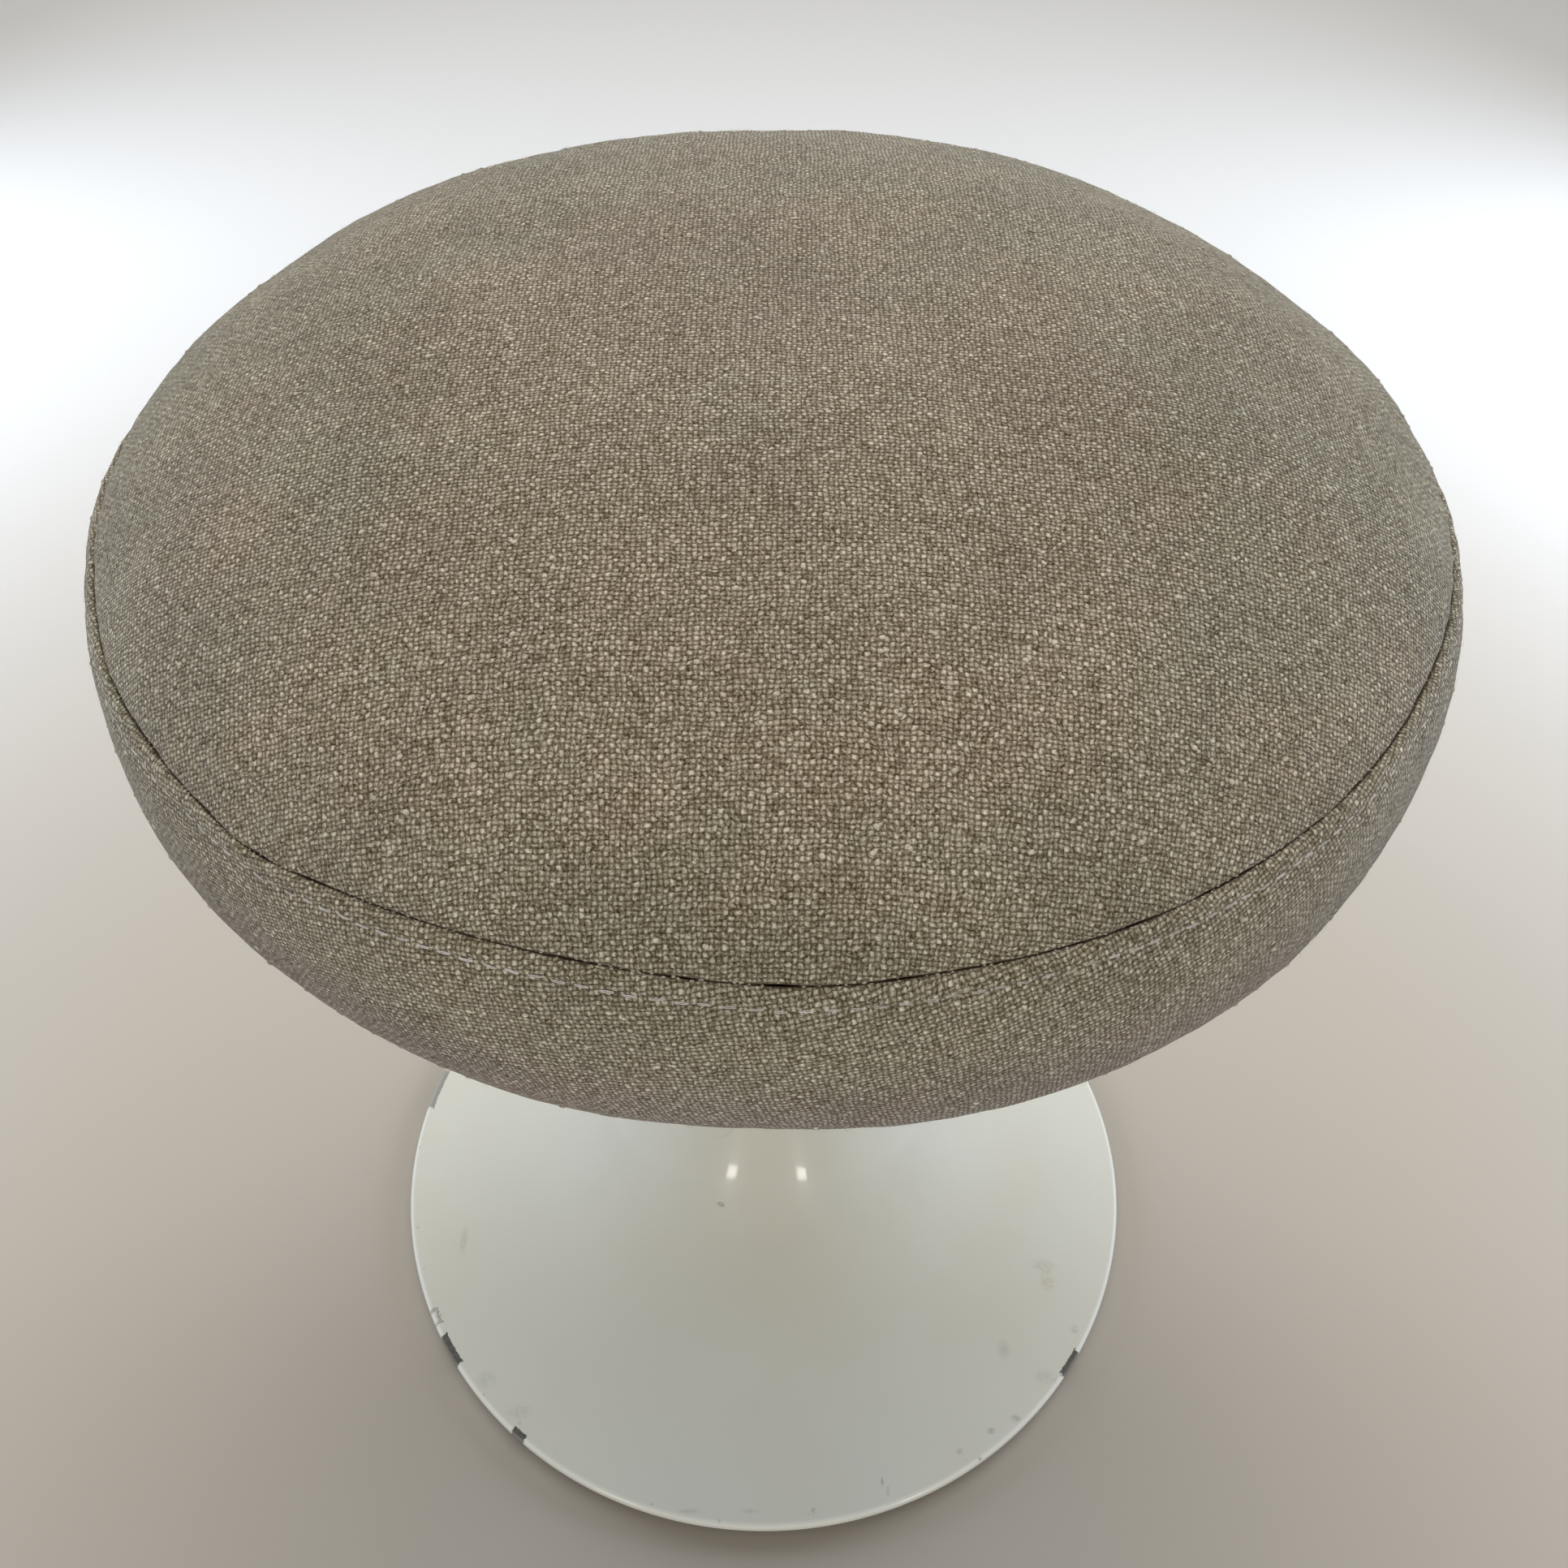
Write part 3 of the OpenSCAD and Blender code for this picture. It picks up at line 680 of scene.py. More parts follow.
@dataclass(frozen=True)
class YarnFinish:
    """Yarn of a single colour that each strand keeps a shade of its own: slubs, stray fibres and sewing
    thread."""

    name: str
    dark: Colour
    light: Colour
    fibre: float = 2600.0

    def build(self) -> Material:
        """Makes the material, which reads the number tone, 0 to 1, of each strand.

        Returns:
            The material.
        """
        t = Tree(self.name)
        lint = t.noise(t.place(), self.fibre, 2.0, 0.6)
        shade = t.number("tone") * 0.8 + (lint - 0.5) * 1.4 + 0.1
        return t.finish(
            Base_Color=t.mix(shade.clamped(), self.dark, self.light), Roughness=0.9,
            Normal=t.bump(lint, 0.0002), Specular_IOR_Level=0.25, Sheen_Weight=0.2, Sheen_Roughness=0.4,
        )


@dataclass(frozen=True)
class Chip:
    """A place on the rim where the paint has flaked off, or has only cracked round a lifted flake: azimuth in
    degrees, half length and reach onto the top in mm, and how bare it is."""

    azimuth: float
    half: float
    reach: float
    share: float = 1.0
    lifted: bool = False


@dataclass(frozen=True)
class Scuff:
    """A mark on the paint: its middle in mm, its half sizes in mm along x, y and z, and how strongly it
    shows."""

    middle: tuple[float, float, float]
    half: tuple[float, float, float]
    colour: Colour
    strength: float


@dataclass(frozen=True)
class Enamel:
    """Off-white stoving enamel on a casting: a slight orange peel, chips to grey metal on the rim, and old
    scuffs.

    The foot's radius is in mm.
    """

    name: str = "white_enamel"
    foot_r: float = FOOT_R
    paint: Colour = srgb(208, 208, 198)
    aged: Colour = srgb(205, 202, 188)
    # Painted highlight along the rounded rim.
    lighter_edge: Colour = srgb(232, 236, 233)
    speck: Colour = srgb(128, 122, 108)
    metal: Colour = srgb(116, 117, 111)
    pitted: Colour = srgb(66, 67, 63)
    # Painted highlight on the outer edge of a chip's bare metal.
    metal_edge_highlight: Colour = srgb(154, 150, 142)
    chips: tuple[Chip, ...] = (
        Chip(-144.4, 7.6, 3.0), Chip(-127.4, 3.4, 2.6), Chip(-36.1, 6.6, 2.4), Chip(168.2, 11.0, 3.4, 0.62),
        Chip(-150.3, 3.8, 3.4, 0.5, True), Chip(24.0, 2.6, 1.8), Chip(68.0, 4.4, 2.3), Chip(131.0, 1.8, 1.6),
    )
    scuffs: tuple[Scuff, ...] = (
        Scuff((-18.4, -51.3, 58.4), (2.5, 2.1, 1.5), srgb(126, 126, 118), 0.75),
        Scuff((-134.0, -46.2, 11.5), (2.4, 9.0, 4.0), srgb(160, 160, 152), 0.4),
        Scuff((125.6, -60.8, 11.8), (4.6, 6.0, 4.0), srgb(182, 174, 142), 0.5),
        Scuff((124.2, -54.2, 12.4), (8.0, 4.0, 4.0), srgb(164, 165, 156), 0.4),
        Scuff((103.5, -92.1, 11.9), (4.0, 5.5, 4.0), srgb(160, 162, 154), 0.4),
        Scuff((120.2, -102.6, 9.4), (6.0, 4.5, 4.0), srgb(164, 166, 158), 0.35),
        Scuff((135.2, -81.5, 9.4), (2.4, 2.6, 3.0), srgb(156, 156, 148), 0.5),
        Scuff((106.2, -119.8, 9.2), (3.0, 2.0, 2.0), srgb(150, 151, 144), 0.55),
        Scuff((95.6, -125.2, 9.4), (2.6, 1.9, 2.0), srgb(140, 141, 134), 0.6),
        Scuff((81.9, -133.6, 9.5), (1.9, 1.6, 2.0), srgb(144, 145, 138), 0.55),
        Scuff((90.1, -136.3, 9.0), (1.6, 1.2, 2.0), srgb(134, 134, 126), 0.65),
        Scuff((49.7, -146.0, 9.9), (0.8, 2.6, 2.0), srgb(142, 142, 134), 0.65),
        Scuff((51.9, -149.6, 9.4), (0.8, 2.4, 2.0), srgb(136, 136, 128), 0.65),
        Scuff((22.0, -157.5, 9.3), (1.4, 2.0, 2.0), srgb(146, 146, 138), 0.55),
        Scuff((-27.5, -158.3, 9.1), (6.0, 1.3, 2.0), srgb(172, 158, 148), 0.4),
        Scuff((-3.4, -158.0, 9.4), (5.0, 1.2, 2.0), srgb(172, 158, 148), 0.35),
        Scuff((-115.1, -107.6, 9.4), (6.0, 5.0, 3.0), srgb(168, 171, 164), 0.35),
        Scuff((-99.7, -120.8, 9.5), (7.0, 4.0, 3.0), srgb(166, 168, 160), 0.35),
    )

    def bareness(self, t: Tree, place: Sock, azimuth: Sock, inward: Sock) -> Sock:
        """How bare the metal is.

        A chip's bounds are max(|a - azimuth| R / half, inward / reach) below 1, shaken by noise, with a the
        point's azimuth and R the foot's radius. A lifted flake shows only its cracked outline.

        Args:
            t: The tree.
            place: The point in metres.
            azimuth: Its azimuth in radians.
            inward: How far in mm it lies inside the foot's rim.

        Returns:
            0 for paint to 1 for bare metal.
        """
        rough_edge = (t.noise(place, 900.0, 3.0, 0.65) - 0.5) * 0.9
        bare: Sock | None = None
        for chip in self.chips:
            along = (azimuth - math.radians(chip.azimuth)).op("ABSOLUTE") * (self.foot_r / chip.half)
            shaken = rough_edge * (3.0 / (chip.reach + 1.5)) * (2.2 if chip.lifted else 1.0)
            bounds = along.op("MAXIMUM", inward / chip.reach) + shaken
            mask = bounds.rise(1.04, 0.94) * chip.share
            if chip.lifted:
                mask = mask * bounds.rise(0.5, 0.9)
            bare = mask if bare is None else bare.op("MAXIMUM", mask)
        return bare

    def scuffed(self, t: Tree, place: Sock, tear: Sock, colour: Sock) -> Sock:
        """The paint's colour with its scuffs, each an ellipsoid about its middle, torn by noise.

        Args:
            t: The tree.
            place: Point in metres.
            tear: Fine noise.
            colour: The paint's colour.

        Returns:
            The scuffed colour.
        """
        spot = t.node("ShaderNodeVectorMath", {"operation": "SCALE"}, {0: place, "Scale": PER_M})
        for scuff in self.scuffs:
            offset = t.vector("DIVIDE", t.vector("SUBTRACT", spot, scuff.middle), scuff.half)
            mask = t.vector("LENGTH", offset, out="Value").rise(1.0, 0.25) * tear.rise(0.3, 0.6)
            colour = t.mix(mask * scuff.strength, colour, scuff.colour)
        return colour

    def build(self) -> Material:
        """Makes the material: aged paint with specks near the rim, a painted highlight along it, scuffed and
        chipped.

        Returns:
            The material.
        """
        t = Tree(self.name)
        place = t.place()
        x, y, z = (part * PER_M for part in t.parts(place))
        inward = self.foot_r - x.hypot(y)
        bare = self.bareness(t, place, y.op("ARCTAN2", x), inward) * z.rise(60.0, 20.0)
        cloud, tear = t.noise(place, 14.0, 3.0, 0.6), t.noise(place, 700.0, 3.0, 0.7)
        colour = t.mix(cloud.rise(0.4, 0.75) * 0.5, self.paint, self.aged)
        specks = t.noise(place, 420.0, 1.0).rise(0.72, 0.78) * inward.rise(9.0, 0.0) * z.rise(30.0, 9.0)
        colour = t.mix(specks * 0.45, colour, self.speck)
        # Painted highlight: lighter within about 2 mm of the rim's edge.
        colour = t.mix(inward.rise(2.2, 0.7) * (0.5 + cloud * 0.35), colour, self.lighter_edge)
        colour = self.scuffed(t, place, tear, colour)
        grain = t.noise(place, 1800.0, 2.0)
        metal = t.mix(grain * 0.4 + tear.rise(0.35, 0.6) * 0.4, self.metal, self.pitted)
        # Painted highlight: a chip's bare metal lighter towards the rim's edge.
        metal = t.mix(inward.rise(0.9, 0.2) * 0.7, metal, self.metal_edge_highlight)
        smear = t.noise(t.vector("MULTIPLY", place, (300.0, 60.0, 60.0)), 1.0, 2.0)
        wear, peel = t.noise(place, 55.0, 4.0, 0.65), t.noise(place, 520.0, 1.0)
        relief = peel * 0.012 + t.noise(place, 70.0, 1.0) * 0.09 - bare * 1.0 + bare * grain * 0.3
        return t.finish(
            Base_Color=t.mix(bare, colour, metal), Metallic=bare * 0.25,
            Roughness=0.26 + wear * 0.1 + smear * 0.04 + bare * 0.3, Normal=t.bump(relief, 0.00025),
            Coat_Weight=0.5 - bare * 0.5, Coat_Roughness=0.08, IOR=1.5,
        )


class MetalWork(Enum):
    """How a metal surface was made, which its marks show."""

    TURNED = "turned"
    PLATED = "plated"
    DRAWN = "drawn"


@dataclass(frozen=True)
class MetalFinish:
    """Bare or plated metal with the marks of its making."""

    name: str
    colour: Colour
    stain: Colour
    roughness: float
    work: MetalWork

    def build(self) -> Material:
        """Makes the material: turned pieces carry rings of tool marks about Z, the others a mottled skin.

        Returns:
            The material.
        """
        t = Tree(self.name)
        place = t.place()
        mottle = t.noise(place, 160.0, 4.0, 0.6)
        fine = t.noise(place, 2400.0, 2.0)
        if self.work is MetalWork.TURNED:
            marks = t.node(
                "ShaderNodeTexWave", {"wave_type": "RINGS", "rings_direction": "Z"},
                {"Vector": place, "Scale": 420.0, "Distortion": 0.6, "Detail": 2.0, "Detail Scale": 3.0},
                "Fac",
            )
        elif self.work is MetalWork.DRAWN:
            marks = t.noise(t.vector("MULTIPLY", place, (5200.0, 5200.0, 300.0)), 1.0, 2.0)
        else:
            marks = fine
        colour = t.mix(mottle.rise(0.45, 0.8) * 0.6, self.colour, self.stain)
        return t.finish(
            Base_Color=colour, Metallic=1.0, Roughness=marks * 0.1 + mottle * 0.12 + (self.roughness - 0.1),
            Normal=t.bump(marks * 0.5 + fine * 0.3, 0.00004),
        )


@dataclass(frozen=True)
class PlateFinish:
    """Black powder coat with a fine texture, scuffed a little grey along the outer edge, whose radius is in
    mm."""

    name: str = "black_plate"
    edge_r: float = 72.0
    edge_w: float = 1.6

    def build(self) -> Material:
        """Makes the material.

        Returns:
            The material.
        """
        t = Tree(self.name)
        place = t.place()
        x, y, _ = t.parts(place)
        grit, cloud = t.noise(place, 1500.0, 2.0), t.noise(place, 40.0, 3.0)
        near_edge = (x.hypot(y) * PER_M).rise(self.edge_r - self.edge_w, self.edge_r)
        lighter_edge = near_edge * cloud.rise(0.4, 0.6) * 0.6
        colour = t.mix(cloud, srgb(26, 26, 28), srgb(36, 36, 38))
        colour = t.mix(lighter_edge, colour, srgb(92, 92, 94))
        return t.finish(
            Base_Color=colour, Roughness=0.5 + grit * 0.15, Normal=t.bump(grit, 0.00012), Metallic=lighter_edge,
        )


@dataclass(frozen=True)
class PlywoodFinish:
    """Birch plywood: plies across its thickness on the edge, long pores and figure on its faces. Sizes are in
    mm."""

    name: str = "plywood"
    foot: float = BOARD_FOOT
    thickness: float = 15.0
    plies: int = 9

    def build(self) -> Material:
        """Makes the material: ply number floor(n (z - foot) / thickness), every other ply shows end grain.

        Returns:
            The material.
        """
        t = Tree(self.name)
        place = t.place()
        z = t.parts(place)[2]
        layer = ((z * PER_M - self.foot) * (self.plies / self.thickness)).op("FLOOR")
        crosswise = (layer * 0.5).op("FRACT") * 2
        figure = t.noise(t.vector("MULTIPLY", place, (9.0, 110.0, 110.0)), 1.0, 4.0, 0.6)
        pores = t.noise(t.vector("MULTIPLY", place, (90.0, 2400.0, 2400.0)), 1.0, 2.0)
        colour = t.mix(figure, srgb(202, 172, 128), srgb(178, 144, 98))
        colour = t.mix(crosswise * 0.45, colour, srgb(146, 110, 70))
        colour = t.mix(pores.rise(0.6, 0.75) * 0.4, colour, srgb(110, 80, 50))
        return t.finish(Base_Color=colour, Roughness=0.62 + pores * 0.2, Normal=t.bump(pores, 0.0001))


@dataclass(frozen=True)
class NylonFinish:
    """Moulded black nylon, scuffed grey where it meets the floor."""

    name: str = "black_nylon"

    def build(self) -> Material:
        """Makes the material.

        Returns:
            The material.
        """
        t = Tree(self.name)
        place = t.place()
        z = t.parts(place)[2]
        spark, drag = t.noise(place, 1300.0, 2.0), t.noise(place, 260.0, 4.0, 0.7)
        worn = (z * PER_M).rise(1.2, 0.1) * drag.rise(0.4, 0.65)
        colour = t.mix(worn * 0.6, t.mix(spark, srgb(24, 24, 25), srgb(34, 34, 35)), srgb(104, 102, 98))
        return t.finish(
            Base_Color=colour, Roughness=0.42 + spark * 0.15 + worn * 0.2, Normal=t.bump(spark, 0.00006),
        )


@dataclass(frozen=True)
class DustClothFinish:
    """Black spun-bonded cloth: tangled fibres pressed together at a lattice of small points, so many mm
    apart."""

    name: str = "dust_cloth"
    lattice: float = 1.6

    def build(self) -> Material:
        """Makes the material: the points lie where cos(2 pi x / s) cos(2 pi y / s) is near 1, with s the
        lattice.

        Returns:
            The material.
        """
        t = Tree(self.name)
        place = t.place()
        x, y, _ = t.parts(place)
        turns = 2 * math.pi * PER_M / self.lattice
        points = ((x * turns).op("COSINE") * (y * turns).op("COSINE")).rise(0.5, 0.85)
        fibres = t.noise(t.vector("ADD", place, t.noise(place, 400.0, 1.0, out=1)), 3.0, 5.0, 0.8)
        fine = t.noise(place, 2200.0, 3.0, 0.7)
        colour = t.mix(fine * 0.7 + fibres * 0.3, srgb(18, 18, 20), srgb(50, 50, 53))
        colour = t.mix(points * 0.6, colour, srgb(14, 14, 15))
        return t.finish(
            Base_Color=colour, Roughness=0.85 - points * 0.35, Normal=t.bump(fine * 0.6 - points, 0.00015),
            Sheen_Weight=0.15, Sheen_Roughness=0.5,
        )


@dataclass(frozen=True)
class FoamFinish:
    """Cut upholstery foam under the cover, with open cells."""

    name: str = "foam"

    def build(self) -> Material:
        """Makes the material.

        Returns:
            The material.
        """
        t = Tree(self.name)
        place = t.place()
        cells = t.node("ShaderNodeTexVoronoi", None, {"Vector": place, "Scale": 1400.0}, "Distance")
        colour = t.mix(cells.rise(0.1, 0.6), srgb(176, 160, 112), srgb(232, 220, 178))
        return t.finish(Base_Color=colour, Roughness=0.95, Normal=t.bump(cells, 0.0003))


# The seat.


@dataclass(frozen=True)
class SeatForm:
    """Section of the upholstered seat in mm, and how far its seam climbs the crown at azimuths round it."""

    seam_r: float = 183.0
    seam_h: float = 399.0
    crown_h: float = 51.0
    crown_power: float = 2.8
    crown_edge: float = 0.75
    bulge: float = 7.5
    bulge_drop: float = 28.0
    band_h: float = 68.0
    turn_in: float = 24.5
    hem_w: float = 28.0
    climb: float = 50.0
    wander: tuple[tuple[float, float], ...] = (
        (-180, 0.6), (-166, -0.4), (-157, -1.4), (-148, -3.0), (-139, -2.5), (-132, -3.2), (-127, -4.6),
        (-121, -1.6), (-112, 0.2), (-102, 1.0), (-94, 0.3), (-86, -0.5), (-79, 0.5), (-67, 0.5), (-48, 1.4),
        (-30, 2.5), (-16, 0.3), (-7, -1.5), (9, 0.9), (38, -0.7), (62, 0.5), (88, -0.6), (118, 0.9),
        (146, -0.8),
    )
    wander_steps: int = 720
    wander_passes: int = 40

    @property
    def apex(self) -> float:
        """Height of the crown's top."""
        return self.seam_h + self.crown_h

    @property
    def under(self) -> float:
        """Height of the flat underside."""
        return self.seam_h - self.band_h

    def seam(self, azimuth: Array) -> tuple[Array, Array]:
        """Radius and height of the seam: a plain ring moved up a slope of climb degrees by the smoothed
        wander.

        Args:
            azimuth: Angles in degrees.

        Returns:
            Radii and heights in mm.
        """
        fine = np.linspace(-180, 180, self.wander_steps, endpoint=False)
        places, rises = np.array(self.wander).T
        rise = eased(np.interp(fine, places, rises, period=360), self.wander_passes, 0, True)
        rise = np.interp(azimuth, fine, rise, period=360)
        slope = math.radians(self.climb)
        return self.seam_r - rise * math.cos(slope), self.seam_h + rise * math.sin(slope)

    def crown(self, share: Array, azimuth: Array) -> Array:
        """Points of the crown: r = share * seam r and z = seam z + (apex - seam z) (1 - share^power)^edge.

        Args:
            share: 0 in the middle to 1 at the seam.
            azimuth: Angles in degrees.

        Returns:
            The points in metres.
        """
        ring, height = self.seam(azimuth)
        lift = np.maximum(0, 1 - share**self.crown_power) ** self.crown_edge
        return polar(ring * share, height + (self.apex - height) * lift, azimuth)

    def band(self, step: Array, azimuth: Array) -> Array:
        """Points of the boxing band and its hem.

        From step 0 to 1 the shoulder swells on a quarter ellipse, r = seam r + swell sin a; to 2 it turns
        under on another, z = widest z - drop sin b; and to 3 the hem runs flat towards the middle.

        Args:
            step: 0 to 3 along the band.
            azimuth: Angles in degrees.

        Returns:
            The points in metres.
        """
        ring, height = self.seam(azimuth)
        widest, level = self.seam_r + self.bulge, self.seam_h - self.bulge_drop
        a, b = (np.radians(90 * np.clip(step - k, 0, 1)) for k in (0, 1))
        radius = ring + (widest - ring) * np.sin(a) - self.turn_in * (1 - np.cos(b))
        radius = radius - self.hem_w * np.clip(step - 2, 0, 1)
        drop = height - (height - level) * (1 - np.cos(a)) - (level - self.under) * np.sin(b)
        return polar(radius, drop, azimuth)


@dataclass
class CoverDraw:
    """The cover drawn over the foam: the closed seat, remeshed and let out as cloth held at its hem and its
    seam.

    The columns and steps are those of the grid that is read, and sizes are in mm. The cloth has Blender's own
    units, and let_out is the share by which it is shrunk or let out where the slack is 0 or 1.
    """

    form: SeatForm
    columns: int = 120
    crown_steps: int = 26
    band_steps: int = 24
    inset: float = 1.5
    voxel: float = 6.0
    frames: int = 20
    quality: int = 6
    mass: float = 0.3
    air_damping: float = 2.0
    stretch: float = 24.0
    shear: float = 8.0
    bending: float = 1.5
    pressure: float = 4.0
    let_out: float = 0.008
    slack: Ripple = Ripple(0.5, 5, 55, 150)
    seam_hold: float = 0.8
    seam_reach: float = 8.0
    hem_top: float = 9.0
    hem_fade: float = 5.0
    neighbours: int = 6
    furthest: float = 6.0
    still_rings: int = 3
    around_passes: int = 3
    down_passes: int = 2
    uneven: float = 0.6

    def stations(self) -> tuple[Array, Array, Array]:
        """Stations down the crown, down the band, and azimuths, at which the drawn cover is read."""
        azimuth = BACK + np.arange(self.columns) * 360 / self.columns
        return np.linspace(0, 1, self.crown_steps + 1), np.linspace(0, 3, self.band_steps + 1), azimuth

    def settle(self) -> tuple[Array, Array]:
        """Runs the cloth.

        Returns:
            How far the cover moves in metres at the stations of the crown and of the band, less its mean
            round the seat, so that the section keeps its measured size and only the unevenness is taken over.
        """
        crown_at, band_at, azimuth = self.stations()
        crown = self.form.crown(np.sin(np.radians(90 * crown_at[1:, None])), azimuth)
        rest = np.concatenate([crown, self.form.band(band_at[1:, None], azimuth)])
        start = rest - self.inset * MM * grid_normals(rest)
        moved = np.zeros_like(start)
        moved = self.read(start, *self.blow(start))
        moved[:self.still_rings] *= (np.arange(self.still_rings) / self.still_rings)[:, None, None]
        moved = eased(eased(moved, self.around_passes, 1, True), self.down_passes, 0, False)
        upward = np.broadcast_to([0.0, 0.0, 1.0], (self.columns, 3))
        uneven = np.zeros_like(moved)
        for way in (outward_at(azimuth), sideways_at(azimuth), upward):
            amount = np.einsum("ijk,jk->ij", moved, way)
            uneven += (amount - amount.mean(1, keepdims=True))[..., None] * way
        length = np.maximum(np.linalg.norm(uneven, axis=-1, keepdims=True) / MM, 1e-6)
        uneven *= self.uneven * np.tanh(length / self.uneven) / length
        middle = np.zeros((1, *uneven.shape[1:]))
        on_crown, on_band = uneven[:self.crown_steps], uneven[self.crown_steps:]
        return np.concatenate([middle, on_crown]), np.concatenate([on_crown[-1:], on_band])

    def blow(self, start: Array) -> tuple[Array, Array]:
        """Remeshes the closed form and steps the cloth over it.

        Args:
            start: The form's grid, from the first ring of the crown to the hem's inner edge.

        Returns:
            The remeshed points before and after.
        """
        draft = self.draft(start)
        before = self.places(draft.data)
        self.hold(draft, before)
        self.make_cloth(draft)
        for frame_number in range(1, self.frames + 1):
            bpy.context.scene.frame_set(frame_number)
        graph = bpy.context.evaluated_depsgraph_get()
        after = self.places(draft.evaluated_get(graph).to_mesh())
        bpy.data.objects.remove(draft)
        bpy.context.scene.frame_set(1)
        return before, after

    def draft(self, start: Array) -> bpy.types.Object:
        """Makes the closed form, with a pole at each end of the grid, and remeshes it evenly.

        Args:
            start: The cover's grid of points.

        Returns:
            The draft.
        """
        rows, columns = start.shape[:2]
        last, ring = rows * columns, np.arange(columns)
        poles = np.array([[0, 0, start[0, :, 2].max()], [0, 0, start[-1, :, 2].mean()]])
        caps = np.concatenate([fan(last, ring), fan(last + 1, ring + last - columns)[:, ::-1]])
        points = np.concatenate([start.reshape(-1, 3), poles])
        draft = Skin(points, grid_quads(rows, columns)[:, ::-1], caps).outward().piece("cover_draft", [])
        remesh = draft.modifiers.new("even", "REMESH")
        remesh.mode = "VOXEL"
        remesh.voxel_size = self.voxel * MM
        graph = bpy.context.evaluated_depsgraph_get()
        even = bpy.data.meshes.new_from_object(draft.evaluated_get(graph))
        draft.modifiers.clear()
        draft.data = even
        return draft

    @staticmethod
    def places(mesh: bpy.types.Mesh) -> Array:
        """The mesh's points in metres."""
        found = np.empty(len(mesh.vertices) * 3)
        mesh.vertices.foreach_get("co", found)
        return found.reshape(-1, 3)

    def hold(self, draft: bpy.types.Object, points: Array) -> None:
        """Weighs the points: held at the hem and, less firmly, along the seam, and slack by an unevenness.

        Args:
            draft: The remeshed form.
            points: Its points in metres.
        """
        radius, height = np.hypot(points[:, 0], points[:, 1]) / MM, points[:, 2] / MM
        ring_r, ring_z = self.form.seam(np.degrees(np.arctan2(points[:, 1], points[:, 0])))
        near = np.exp(-((np.hypot(radius - ring_r, height - ring_z) / self.seam_reach) ** 2))
        hem = np.clip((self.form.under + self.hem_top - height) / self.hem_fade, 0, 1)
        self.weigh(draft, "held", np.maximum(hem, self.seam_hold * near))
        self.weigh(draft, "slack", np.clip(0.5 + self.slack.at(points), 0, 1))

    def make_cloth(self, draft: bpy.types.Object) -> None:
        """Turns the draft into cloth under pressure from inside, without gravity.

        Args:
            draft: The remeshed form.
        """
        cloth = draft.modifiers.new("draw", "CLOTH")
        made = cloth.settings
        made.quality = self.quality
        made.mass = self.mass
        made.air_damping = self.air_damping
        made.tension_stiffness = made.compression_stiffness = self.stretch
        made.shear_stiffness = self.shear
        made.bending_stiffness = self.bending
        made.use_pressure = True
        made.uniform_pressure_force = self.pressure
        made.vertex_group_mass = "held"
        made.vertex_group_shrink = "slack"
        made.shrink_min = -self.let_out
        made.shrink_max = self.let_out
        made.effector_weights.gravity = 0
        cloth.point_cache.frame_start = 1
        cloth.point_cache.frame_end = self.frames

    @staticmethod
    def weigh(piece: bpy.types.Object, name: str, weights: Array, levels: int = 16) -> None:
        """Adds a vertex group whose weights are rounded to a few levels, one call for each.

        Args:
            piece: The mesh object.
            name: The group's name.
            weights: 0 to 1 for each point.
            levels: How many steps.
        """
        group = piece.vertex_groups.new(name=name)
        level = np.rint(weights * levels).astype(int)
        for step in range(levels + 1):
            group.add(np.flatnonzero(level == step).tolist(), step / levels, "REPLACE")

    def read(self, start: Array, before: Array, after: Array) -> Array:
        """Movement of each grid point: its nearest remeshed points' mean, weighed by 1 / distance^2, and
        capped.

        Args:
            start: The cover's grid of points.
            before: The draft's points as made.
            after: The same points once drawn.

        Returns:
            A movement for each grid point.
        """
        moved = after - before
        length = np.linalg.norm(moved, axis=1, keepdims=True)
        log.info("the cover moves %.2f mm at most, %.2f on average", length.max() / MM, length.mean() / MM)
        moved *= np.minimum(1, self.furthest * MM / np.maximum(length, 1e-9))
        grid = np.empty_like(start)
        for row, points in enumerate(start):
            apart = ((points[:, None] - before[None]) ** 2).sum(-1)
            nearest = np.argpartition(apart, self.neighbours, axis=1)[:, :self.neighbours]
            weight = 1 / (np.take_along_axis(apart, nearest, 1) + 1e-7)
            grid[row] = (moved[nearest] * (weight / weight.sum(1, keepdims=True))[..., None]).sum(1)
        return grid


